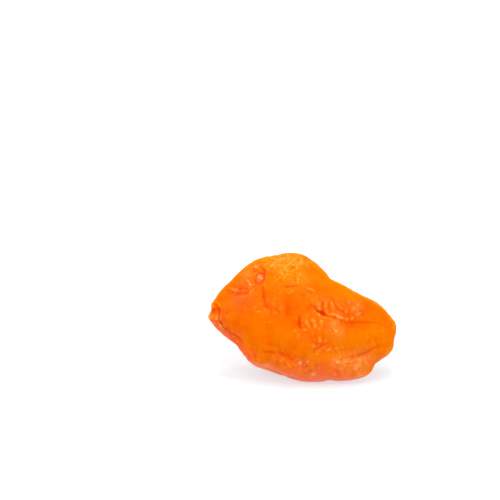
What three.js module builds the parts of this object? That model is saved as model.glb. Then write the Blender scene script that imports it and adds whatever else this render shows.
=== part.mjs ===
// A dried, pitted apricot: one flattened, shrivelled fruit that leans back on its full lower side.
//
// Two frames are used, both in millimetres. The face frame has x along the fruit, v up across its
// broad face and w out of that face. The part frame has +X along the fruit, -Y to the front and +Z up:
// it is the face frame tipped back by FACE_TILT about x and set down on the flat spot.
import * as THREE from 'three';
import { mergeVertices } from 'three/addons/utils/BufferGeometryUtils.js';

// ---- driving dimensions, mm and degrees ----

// Grid cells along each edge of the cube that is blown up into the fruit.
const CELLS = 30;
// How far the face frame is tipped back from upright.
const FACE_TILT = 18;
// Half axes of the plain oval that the outline eases into towards the middle of the face.
const HALF_LENGTH = 19;
const HALF_HEIGHT = 14;
// Depth of the face and of the back, measured from the sheet that holds the rim.
const FACE_DEPTH = 9.6;
const BACK_DEPTH = 9;
// Extra depth of the back low down, where the fruit sits, and how much squarer it gets there.
const LOW_FILL = 5;
const CROWN_POWER = 0.85;
const LOW_POWER_DROP = 0.3;
// Where the low fill begins and how far below it is complete.
const LOW_START = 3;
const LOW_SPAN = 16;
// Rise of the rim sheet towards the back for each millimetre up the face.
const LEAN = 0.4;
// Height of the flat spot below the face frame's origin.
const FOOT_DROP = 12.2;
// Centre of the finished fruit's footprint, which becomes the part's origin.
const FOOTPRINT_X = -0.02;
const FOOTPRINT_Y = -0.14;

// Outline of the fruit seen square on to the face: [angle from +x, radius].
const OUTLINE = [
  [-175, 20.1], [-168, 18.4], [-157, 16.3], [-146, 15.6], [-135, 14.7], [-120, 13.7],
  [-106, 13.7], [-89, 14.2], [-71, 15], [-57, 17], [-49, 18.7], [-43, 19.6],
  [-38, 19.8], [-33, 19.6], [-28, 20.1], [-21, 21.2], [-14, 21.1], [-5, 21],
  [3, 18.8], [11, 16.7], [20, 13.9], [30, 12.2], [42, 10.9], [52, 10.35],
  [61, 10.95], [70, 11.7], [80, 12.7], [90, 13.8], [102, 14.5], [115, 15],
  [128, 16.2], [141, 17], [152, 17.7], [163, 19.2], [173.5, 20.4], [180, 21],
];

// Creases of the skin. Each run is a list of [x, v, depth]; side is 1 on the face and -1 on the back.
// lips are the heights of the raised edges left and right of the run, valley is the depth of the
// broad dip round it, and pucker is the height of the small folds that cross it.
const CREASES = [
  // The furrow that runs from the middle of the face to its right end.
  {
    side: 1, width: 0.45, lips: [0.3, 0.2], valley: 0.8, pucker: 0.3,
    run: [
      [1, 4.5, 0.2], [1.6, 3, 0.5], [2.6, 2, 0.8], [4.8, 0.5, 1.3], [6.5, 0.2, 1], [9.4, -1.3, 0.9],
      [10.7, -1.6, 0.7], [12.4, -1.5, 0.6], [16.5, -1.7, 0.5], [19.7, -2.8, 0.1],
    ],
  },
  // The small pit left of it.
  {
    side: 1, width: 0.5, lips: [0.1, 0.1], valley: 0.35, pucker: 0,
    run: [[-0.3, 1.2, 0.1], [-0.6, -0.2, 0.6], [-0.8, -1.4, 1.1], [-0.6, -2.4, 0.4]],
  },
  // Folds that fan out above the furrow.
  {
    side: 1, width: 0.35, lips: [0.16, 0.16], valley: 0, pucker: 0,
    run: [[4.2, 4.5, 0.1], [4.5, 3.2, 0.4], [5, 1.7, 0.6], [5.1, 0.7, 0.6]],
  },
  {
    side: 1, width: 0.35, lips: [0.12, 0.2], valley: 0, pucker: 0,
    run: [[5.4, 3.8, 0.1], [6.4, 3.4, 0.4], [7.6, 1.2, 0.5], [7.8, 0, 0.4]],
  },
  {
    side: 1, width: 0.4, lips: [0.1, 0.22], valley: 0, pucker: 0,
    run: [[7.6, 2.9, 0.2], [9.1, 2.3, 0.5], [10.7, 1.7, 0.4], [12, 1.1, 0.1]],
  },
  // Folds that hang below the furrow.
  {
    side: 1, width: 0.35, lips: [0.16, 0.12], valley: 0, pucker: 0,
    run: [[1.6, 0.5, 0.2], [1.7, -1, 0.4], [1.6, -2.4, 0.3], [1.3, -3.7, 0.1]],
  },
  {
    side: 1, width: 0.4, lips: [0.16, 0.2], valley: 0, pucker: 0,
    run: [[3.2, 0.8, 0.3], [3.4, -0.8, 0.7], [3.5, -2.2, 0.5], [3.1, -3.6, 0.1]],
  },
  // The dimple low on the face and the three folds that meet in it.
  {
    side: 1, width: 0.4, lips: [0.12, 0.12], valley: 0, pucker: 0,
    run: [[1.7, -4.3, 0.1], [2.8, -5.4, 0.35], [3.7, -6.4, 0.6], [4.8, -8, 0.1]],
  },
  {
    side: 1, width: 0.4, lips: [0.12, 0.12], valley: 0, pucker: 0,
    run: [[5.7, -5.3, 0.1], [3.7, -6.4, 0.6], [1.9, -7.5, 0.1]],
  },
  // The two furrows along the lower edge of the face, with the low lobes hanging under them.
  {
    side: 1, width: 0.45, lips: [0.22, 0.14], valley: 0.5, pucker: 0.22,
    run: [
      [-11.7, -7.5, 0.1], [-8.3, -8.1, 0.3], [-4.7, -8.4, 0.6], [-3.2, -8.9, 0.8],
      [-0.8, -10.6, 0.6], [1.5, -11.8, 0.5], [3.7, -13.4, 0.1],
    ],
  },
  {
    side: 1, width: 0.45, lips: [0.14, 0.26], valley: 0.5, pucker: 0.22,
    run: [
      [19.4, -5.6, 0.1], [17.4, -6.4, 0.5], [15.3, -7.4, 0.65], [14.2, -8.2, 0.75],
      [11.7, -8.8, 0.6], [8, -9.4, 0.1],
    ],
  },
  // The gap between the two lips of skin at the left end, running down the lower edge.
  {
    side: 1, width: 0.4, lips: [0.16, 0.16], valley: 0, pucker: 0,
    run: [
      [-20.3, 2, 0.9], [-19.5, 1.4, 1], [-18.6, -0.8, 0.8], [-16.7, -3.3, 0.7],
      [-14.4, -4.9, 0.5], [-13.4, -6.6, 0.1],
    ],
  },
  // Curved folds at the upper left of the face.
  {
    side: 1, width: 0.4, lips: [0.28, 0.08], valley: 0, pucker: 0,
    run: [[-16.8, 6.4, 0.1], [-15.5, 5.1, 0.5], [-12.6, 5.2, 0.5], [-10.3, 5.2, 0.1]],
  },
  {
    side: 1, width: 0.4, lips: [0.14, 0.14], valley: 0, pucker: 0,
    run: [[-8.6, 8.8, 0.3], [-8.8, 10, 0.5], [-9.4, 10.8, 0.4], [-11.2, 10.1, 0.1]],
  },
  // The seam down the whole back.
  {
    side: -1, width: 0.7, lips: [0.3, 0.3], valley: 1.2, pucker: 0.32,
    run: [
      [-18.5, 2, 0.2], [-14, 4, 0.7], [-8, 5.2, 1], [-2, 5, 1.1],
      [4, 3.6, 1.1], [9, 1.6, 1], [14, -1.2, 0.7], [18.5, -4.5, 0.2],
    ],
  },
  // Long folds of the back, above and below the seam.
  {
    side: -1, width: 0.55, lips: [0.2, 0.2], valley: 0.2, pucker: 0,
    run: [[-15, 8, 0.1], [-9, 9.6, 0.45], [-3, 10.2, 0.5], [3, 8.6, 0.1]],
  },
  {
    side: -1, width: 0.55, lips: [0.2, 0.25], valley: 0.3, pucker: 0,
    run: [[-17, -1, 0.1], [-11, 0.2, 0.5], [-4, 1.2, 0.6], [3, 0.4, 0.5], [9, -2.2, 0.1]],
  },
  {
    side: -1, width: 0.55, lips: [0.22, 0.2], valley: 0.3, pucker: 0,
    run: [[-12, -4.5, 0.1], [-6, -3.2, 0.5], [1, -3.4, 0.6], [7, -5.2, 0.5], [12, -7.6, 0.1]],
  },
  {
    side: -1, width: 0.5, lips: [0.2, 0.2], valley: 0.2, pucker: 0,
    run: [[6, 6.4, 0.1], [10, 5, 0.4], [14, 2.6, 0.1]],
  },
  {
    side: -1, width: 0.5, lips: [0.2, 0.2], valley: 0.2, pucker: 0,
    run: [[8, -0.2, 0.1], [12, -3, 0.4], [16, -6.8, 0.1]],
  },
];

// Swellings and the raised pimple: [x, v, radius, height], on the face.
const BUMPS = [
  [-9.6, 8.6, 0.6, 0.42],
  [3.7, 2.4, 0.6, 0.22], [9.2, 1.2, 0.8, 0.25], [6.9, -1.5, 0.8, 0.25], [7.3, -3.3, 0.7, 0.2],
  [15.1, -3.1, 4, 0.5], [15.6, 1, 3.5, 0.3], [-3.9, 10.3, 4, 0.5], [-13.9, 3.2, 3, 0.25],
  [-7.2, -4.2, 5, 0.3], [12.2, -10.9, 2, 0.4], [-3.9, -11.1, 2, 0.3],
];

// Wander of the creases, and the soft swell of the whole skin: cell size and height.
const WANDER_CELL = 1.9;
const WANDER = 0.42;
const SWELL_CELLS = [7.5, 6, 6];
const SWELL = 0.45;
// Long shrivel folds: cell sizes and height, and their share on the face, crown, low edge and back.
const SHRIVEL_CELLS = [5.2, 2.3, 2.6];
const SHRIVEL = 0.55;
const SHRIVEL_ON_FACE = 0.32;
const SHRIVEL_ON_CROWN = 0.5;
const SHRIVEL_LOW = 0.75;
// Folds that cross a furrow: their pitch along it, their length, and how far out they reach.
const PUCKER_PITCH = 1.25;
const PUCKER_LENGTH = 4.5;
const PUCKER_REACH = 3.4;
// Share of its stated depth that a crease keeps once its sides have closed in on it.
const CREASE_SHARE = 1.15;
// Radius and number of places round a point over which its relief is evened out, to suit the cells.
const EVEN_RADIUS = 0.45;
const EVEN_PLACES = 8;
// How far round a crease its relief is worked out, and the reach of its broad valley.
const CREASE_REACH = 7;
const VALLEY_REACH = 2.4;

const clamp = THREE.MathUtils.clamp;
const smooth = THREE.MathUtils.smoothstep;

// ---- smooth chance ----

// A repeatable number from 0 to 1 for each cell corner.
function chance(i, j, k, seed) {
  const f = Math.sin(i * 127.1 + j * 311.7 + k * 74.7 + seed * 53.9) * 43758.5453;
  return f - Math.floor(f);
}

// Smooth value between cell corners, from -1 to 1.
function noise(x, y, z, seed) {
  const cell = [Math.floor(x), Math.floor(y), Math.floor(z)];
  const ease = [x - cell[0], y - cell[1], z - cell[2]].map((t) => t * t * t * (t * (t * 6 - 15) + 10));
  let total = 0;
  for (const a of [0, 1]) {
    for (const b of [0, 1]) {
      for (const c of [0, 1]) {
        const share = (a ? ease[0] : 1 - ease[0]) * (b ? ease[1] : 1 - ease[1]) * (c ? ease[2] : 1 - ease[2]);
        total += share * chance(cell[0] + a, cell[1] + b, cell[2] + c, seed);
      }
    }
  }
  return total * 2 - 1;
}

// A point moved by three noises, for lines that waver.
function wavered(p, cell, amount, seed) {
  return new THREE.Vector3(
    p.x + amount * noise(p.x / cell, p.y / cell, p.z / cell, seed),
    p.y + amount * noise(p.x / cell, p.y / cell, p.z / cell, seed + 1),
    p.z + amount * noise(p.x / cell, p.y / cell, p.z / cell, seed + 2),
  );
}

// Sharp in the valley, round on top.
function furrow(value) {
  const softness = 0.08;
  return Math.hypot(value, softness) - softness;
}

// ---- the plain body ----

// Radius of the outline at an angle in degrees: a smooth curve through the points of OUTLINE.
function outlineRadius(angle) {
  const count = OUTLINE.length;
  const at = (k) => {
    const turn = Math.floor(k / count);
    const [a, r] = OUTLINE[k - turn * count];
    return [a + 360 * turn, r];
  };
  const turned = angle < OUTLINE[0][0] ? angle + 360 : angle;
  let k = count - 1;
  while (k > 0 && OUTLINE[k][0] > turned) {
    k -= 1;
  }
  const [before, start, end, after] = [at(k - 1), at(k), at(k + 1), at(k + 2)];
  const span = end[0] - start[0];
  const t = (turned - start[0]) / span;
  const slopeIn = (span * (end[1] - before[1])) / (end[0] - before[0]);
  const slopeOut = (span * (after[1] - start[1])) / (after[0] - start[0]);
  const t2 = t * t;
  const t3 = t2 * t;
  return (2 * t3 - 3 * t2 + 1) * start[1] + (t3 - 2 * t2 + t) * slopeIn
    + (3 * t2 - 2 * t3) * end[1] + (t3 - t2) * slopeOut;
}

// Face-frame point of the plain body for a unit direction.
function bodyPoint(s) {
  const rho = Math.hypot(s.x, s.y);
  const angle = Math.atan2(s.y, s.x);
  const oval = 1 / Math.hypot(Math.cos(angle) / HALF_LENGTH, Math.sin(angle) / HALF_HEIGHT);
  const radius = oval + (outlineRadius(THREE.MathUtils.radToDeg(angle)) - oval) * rho ** 3;
  const x = radius * rho * Math.cos(angle);
  const v = radius * rho * Math.sin(angle);
  const height = Math.abs(s.z);
  const low = smooth(LOW_START - v, 0, LOW_SPAN);
  const back = (BACK_DEPTH + LOW_FILL * low) * height ** (CROWN_POWER - LOW_POWER_DROP * low);
  const w = s.z > 0 ? FACE_DEPTH * height ** CROWN_POWER : -back;
  return new THREE.Vector3(x, v, w - LEAN * v);
}

// The point of the plain body above (x, v) on the face or on the back, found by stepping towards it.
function onBody(x, v, side) {
  const s = new THREE.Vector3(x / HALF_LENGTH, v / HALF_HEIGHT, 0);
  const limit = 0.995;
  const point = new THREE.Vector3();
  for (let step = 0; step < 60; step += 1) {
    const rho = Math.hypot(s.x, s.y);
    const trim = Math.min(1, limit / Math.max(rho, 1e-9));
    s.set(s.x * trim, s.y * trim, 0);
    const lift = side * Math.sqrt(Math.max(0, 1 - s.x * s.x - s.y * s.y));
    point.copy(bodyPoint(new THREE.Vector3(s.x, s.y, lift)));
    s.x += (x - point.x) / HALF_LENGTH;
    s.y += (v - point.y) / HALF_LENGTH;
  }
  return point;
}

// ---- relief ----

// A crease as a smooth chain of points on the body, each with its depth and its distance along.
function creaseChain(crease) {
  const knots = crease.run.map(([x, v]) => onBody(x, v, crease.side));
  const curve = new THREE.CatmullRomCurve3(knots, false, 'catmullrom');
  const stepsPerKnot = 3;
  const steps = (knots.length - 1) * stepsPerKnot;
  const chain = [];
  let along = 0;
  for (let i = 0; i <= steps; i += 1) {
    const point = curve.getPoint(i / steps);
    const knot = Math.min(Math.floor(i / stepsPerKnot), knots.length - 2);
    const depth = THREE.MathUtils.lerp(
      crease.run[knot][2],
      crease.run[knot + 1][2],
      i / stepsPerKnot - knot,
    );
    along += i > 0 ? point.distanceTo(chain[i - 1].point) : 0;
    chain.push({ point, depth, along });
  }
  return chain;
}

// Nearest place on a chain: distance, side (1 left, -1 right), depth and distance along.
function nearestOn(chain, point, normal) {
  const best = { distance: Infinity, side: 0, depth: 0, along: 0 };
  for (let i = 0; i + 1 < chain.length; i += 1) {
    const from = chain[i];
    const to = chain[i + 1];
    const run = to.point.clone().sub(from.point);
    const t = clamp(point.clone().sub(from.point).dot(run) / run.lengthSq(), 0, 1);
    const off = point.clone().sub(from.point).addScaledVector(run, -t);
    const distance = off.length();
    if (distance < best.distance) {
      best.distance = distance;
      best.side = Math.sign(run.clone().cross(off).dot(normal));
      best.depth = THREE.MathUtils.lerp(from.depth, to.depth, t);
      best.along = THREE.MathUtils.lerp(from.along, to.along, t);
    }
  }
  return best;
}

// Height that one crease adds at a point: the crease, its lips, its valley and its puckers.
function creaseHeight(crease, point, looked, normal) {
  const near = nearestOn(crease.chain, looked, normal);
  if (near.distance > CREASE_REACH) {
    return 0;
  }
  const { distance, side, depth, along } = near;
  const { width } = crease;
  const share = depth / crease.deepest;
  let height = (-CREASE_SHARE * depth) / (1 + (distance / width) ** 2) ** 1.5;
  const lip = side > 0 ? crease.lips[0] : crease.lips[1];
  height += 0.8 * lip * share * Math.exp(-(((distance - 2.2 * width) / (1.5 * width)) ** 2));
  height -= crease.valley * share * Math.exp(-((distance / VALLEY_REACH) ** 2));
  if (crease.pucker > 0) {
    const shift = 0.5 * noise(point.x / 2.5, point.y / 2.5, point.z / 2.5, 11);
    const u = along / PUCKER_PITCH + shift;
    const fold = furrow(noise(u, (distance * side) / PUCKER_LENGTH, 3.7, 12)) - 0.3;
    const reach = Math.exp(-((distance / PUCKER_REACH) ** 2)) * clamp(distance / 0.8, 0, 1);
    height += 1.3 * crease.pucker * fold * reach * clamp(2 * share, 0, 1);
  }
  return height;
}

// Height of the whole relief at a point of the plain body. rim runs from 0 on the rim to 1 inside it.
function reliefHeight(point, normal, rim, creases, bumps) {
  const looked = wavered(point, WANDER_CELL, WANDER, 1);
  let height = 0;
  for (const crease of creases) {
    height += creaseHeight(crease, point, looked, normal);
  }
  for (const bump of bumps) {
    height += bump.height * Math.exp(-looked.distanceToSquared(bump.centre) / bump.radius ** 2);
  }
  const [cellX, cellV, cellW] = SWELL_CELLS;
  height += SWELL * rim * noise(point.x / cellX, point.y / cellV, point.z / cellW, 21);
  const onBack = clamp((0.15 - normal.z) / 0.5, 0, 1);
  const low = clamp((-point.y - 6.5) / 3, 0, 1);
  const crown = clamp((point.y - 5.5) / 3, 0, 1) * clamp((2 - point.x) / 6, 0, 1);
  const amount = Math.max(onBack, SHRIVEL_LOW * low, SHRIVEL_ON_CROWN * crown, SHRIVEL_ON_FACE);
  const bent = wavered(point, 4.5, 1.1, 31);
  const [longX, longV, longW] = SHRIVEL_CELLS;
  height += SHRIVEL * amount * (furrow(noise(bent.x / longX, bent.y / longV, bent.z / longW, 34)) - 0.3);
  return height;
}

// The relief evened out over a small ring round the point.
function evenedHeight(point, normal, rim, creases, bumps) {
  const across = new THREE.Vector3(1, 0, 0).cross(normal);
  if (across.lengthSq() < 0.01) {
    across.set(0, 1, 0).cross(normal);
  }
  across.normalize();
  const along = normal.clone().cross(across);
  let total = 2 * reliefHeight(point, normal, rim, creases, bumps);
  for (let place = 0; place < EVEN_PLACES; place += 1) {
    const turn = (2 * Math.PI * place) / EVEN_PLACES;
    const near = point.clone()
      .addScaledVector(across, EVEN_RADIUS * Math.cos(turn))
      .addScaledVector(along, EVEN_RADIUS * Math.sin(turn));
    total += reliefHeight(near, normal, rim, creases, bumps);
  }
  return total / (EVEN_PLACES + 2);
}

// ---- the fruit ----

// A closed sphere of even cells: a cube's grid blown up, with its edges' points merged.
function cellSphere() {
  const cube = new THREE.BoxGeometry(2, 2, 2, CELLS, CELLS, CELLS);
  cube.deleteAttribute('normal');
  cube.deleteAttribute('uv');
  const sphere = mergeVertices(cube, 1e-6);
  const position = sphere.getAttribute('position');
  const s = new THREE.Vector3();
  for (let i = 0; i < position.count; i += 1) {
    s.fromBufferAttribute(position, i);
    s.set(Math.tan((s.x * Math.PI) / 4), Math.tan((s.y * Math.PI) / 4), Math.tan((s.z * Math.PI) / 4));
    s.normalize();
    position.setXYZ(i, s.x, s.y, s.z);
  }
  return sphere;
}

function apricotGeometry() {
  const geometry = cellSphere();
  const position = geometry.getAttribute('position');
  const p = new THREE.Vector3();
  const rims = [];
  for (let i = 0; i < position.count; i += 1) {
    p.fromBufferAttribute(position, i);
    rims.push(smooth(Math.abs(p.z), 0.15, 0.6));
    p.copy(bodyPoint(p));
    position.setXYZ(i, p.x, p.y, p.z);
  }
  geometry.computeVertexNormals();
  const normals = geometry.getAttribute('normal');

  const creases = CREASES.map((crease) => ({
    ...crease,
    chain: creaseChain(crease),
    deepest: Math.max(...crease.run.map((knot) => knot[2])),
  }));
  const bumps = BUMPS.map(([x, v, radius, height]) => ({ centre: onBody(x, v, 1), radius, height }));
  const tilt = THREE.MathUtils.degToRad(FACE_TILT);
  const n = new THREE.Vector3();
  for (let i = 0; i < position.count; i += 1) {
    p.fromBufferAttribute(position, i);
    n.fromBufferAttribute(normals, i);
    p.addScaledVector(n, evenedHeight(p, n, rims[i], creases, bumps));
    const y = p.y * Math.sin(tilt) - p.z * Math.cos(tilt);
    const z = p.y * Math.cos(tilt) + p.z * Math.sin(tilt) + FOOT_DROP;
    position.setXYZ(i, p.x - FOOTPRINT_X, y - FOOTPRINT_Y, Math.max(z, 0));
  }
  geometry.computeVertexNormals();
  return geometry;
}

const skin = new THREE.MeshStandardMaterial({ color: 0xf57a10, roughness: 0.45 });
const apricot = new THREE.Mesh(apricotGeometry(), skin);
apricot.name = 'dried_apricot';

const part = new THREE.Group();
part.name = 'part';
part.add(apricot);

export default part;
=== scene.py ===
"""A dried, pitted apricot that leans back on its full lower side, on a pale floor.

The surface is worked out in the face frame, in millimetres: x runs along the fruit, v up across its
broad face and w out of that face. The part frame is the face frame tipped back by FACE_TILT about x,
and set down on the flat spot.
"""

import math

import bpy
import numpy as np
from bpy.props import FloatProperty, IntProperty, PointerProperty, StringProperty
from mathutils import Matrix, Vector


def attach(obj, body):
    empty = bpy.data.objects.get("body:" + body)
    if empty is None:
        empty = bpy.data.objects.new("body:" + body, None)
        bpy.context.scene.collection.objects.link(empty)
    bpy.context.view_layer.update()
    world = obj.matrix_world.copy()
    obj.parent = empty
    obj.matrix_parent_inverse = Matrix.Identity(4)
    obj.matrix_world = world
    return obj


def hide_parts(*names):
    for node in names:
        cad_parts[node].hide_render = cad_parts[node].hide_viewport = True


bl_info = {
    "name": "Dried apricot",
    "version": (1, 0, 0),
    "blender": (4, 5, 0),
    "location": "3D view > Sidebar > Apricot",
    "description": "Makes a dried, pitted apricot with its skin, and a plain stage for it",
    "category": "Add Mesh",
}

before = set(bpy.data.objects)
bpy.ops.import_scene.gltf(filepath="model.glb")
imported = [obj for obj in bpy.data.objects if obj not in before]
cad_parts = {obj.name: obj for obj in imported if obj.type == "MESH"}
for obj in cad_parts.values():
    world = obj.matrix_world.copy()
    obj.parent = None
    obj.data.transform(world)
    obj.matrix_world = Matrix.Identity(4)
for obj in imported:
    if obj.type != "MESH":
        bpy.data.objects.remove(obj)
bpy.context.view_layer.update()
FRUIT_NODE = "dried_apricot"
MM = 0.001

# ---- the form: driving dimensions in millimetres and degrees ----

FACE_TILT = 18.0
# Half axes of the plain oval that the outline eases into towards the middle of the face.
HALF_LENGTH = 19.0
HALF_HEIGHT = 14.0
# Where the low fill of the back begins, how far below it is complete, and how the depth falls off.
LOW_START = 3.0
LOW_SPAN = 16.0
CROWN_POWER = 0.85
LOW_POWER_DROP = 0.3
# Rise of the rim sheet towards the back for each millimetre up the face.
LEAN = 0.4
# Height of the flat spot below the face frame's origin, and the middle of the footprint.
FOOT_DROP = 12.2
FOOTPRINT = (-0.02, -0.14)
# How near the rim a place on the body is sought, and the steps that find it.
RIM_LIMIT = 0.995
FINDING_STEPS = 60

# Outline of the fruit seen square on to the face: angle from +x, radius.
OUTLINE = np.array([
    (-175, 20.1), (-168, 18.4), (-157, 16.1), (-151.5, 15.75), (-146, 15.6), (-138, 15.4), (-129, 14.4),
    (-120, 13.7), (-106, 13.7), (-89, 14.2), (-71, 15), (-57, 16.9), (-49, 18.3), (-43, 19.1), (-38, 19.3),
    (-33, 19.15), (-28, 19.8), (-21, 21.35), (-14, 21.1), (-5, 21), (3, 18.8), (11, 16.7), (20, 13.9),
    (30, 12.2), (42, 10.9), (52, 10.35), (61, 10.95), (70, 11.7), (80, 12.7), (90, 13.8), (102, 14.5),
    (115, 15), (128, 16.2), (141, 17), (152, 17.7), (163, 19.2), (168.5, 19.9), (172.2, 20.5), (176, 20.35),
    (180, 21),
])

FACE = 1.0
BACK = -1.0

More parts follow.
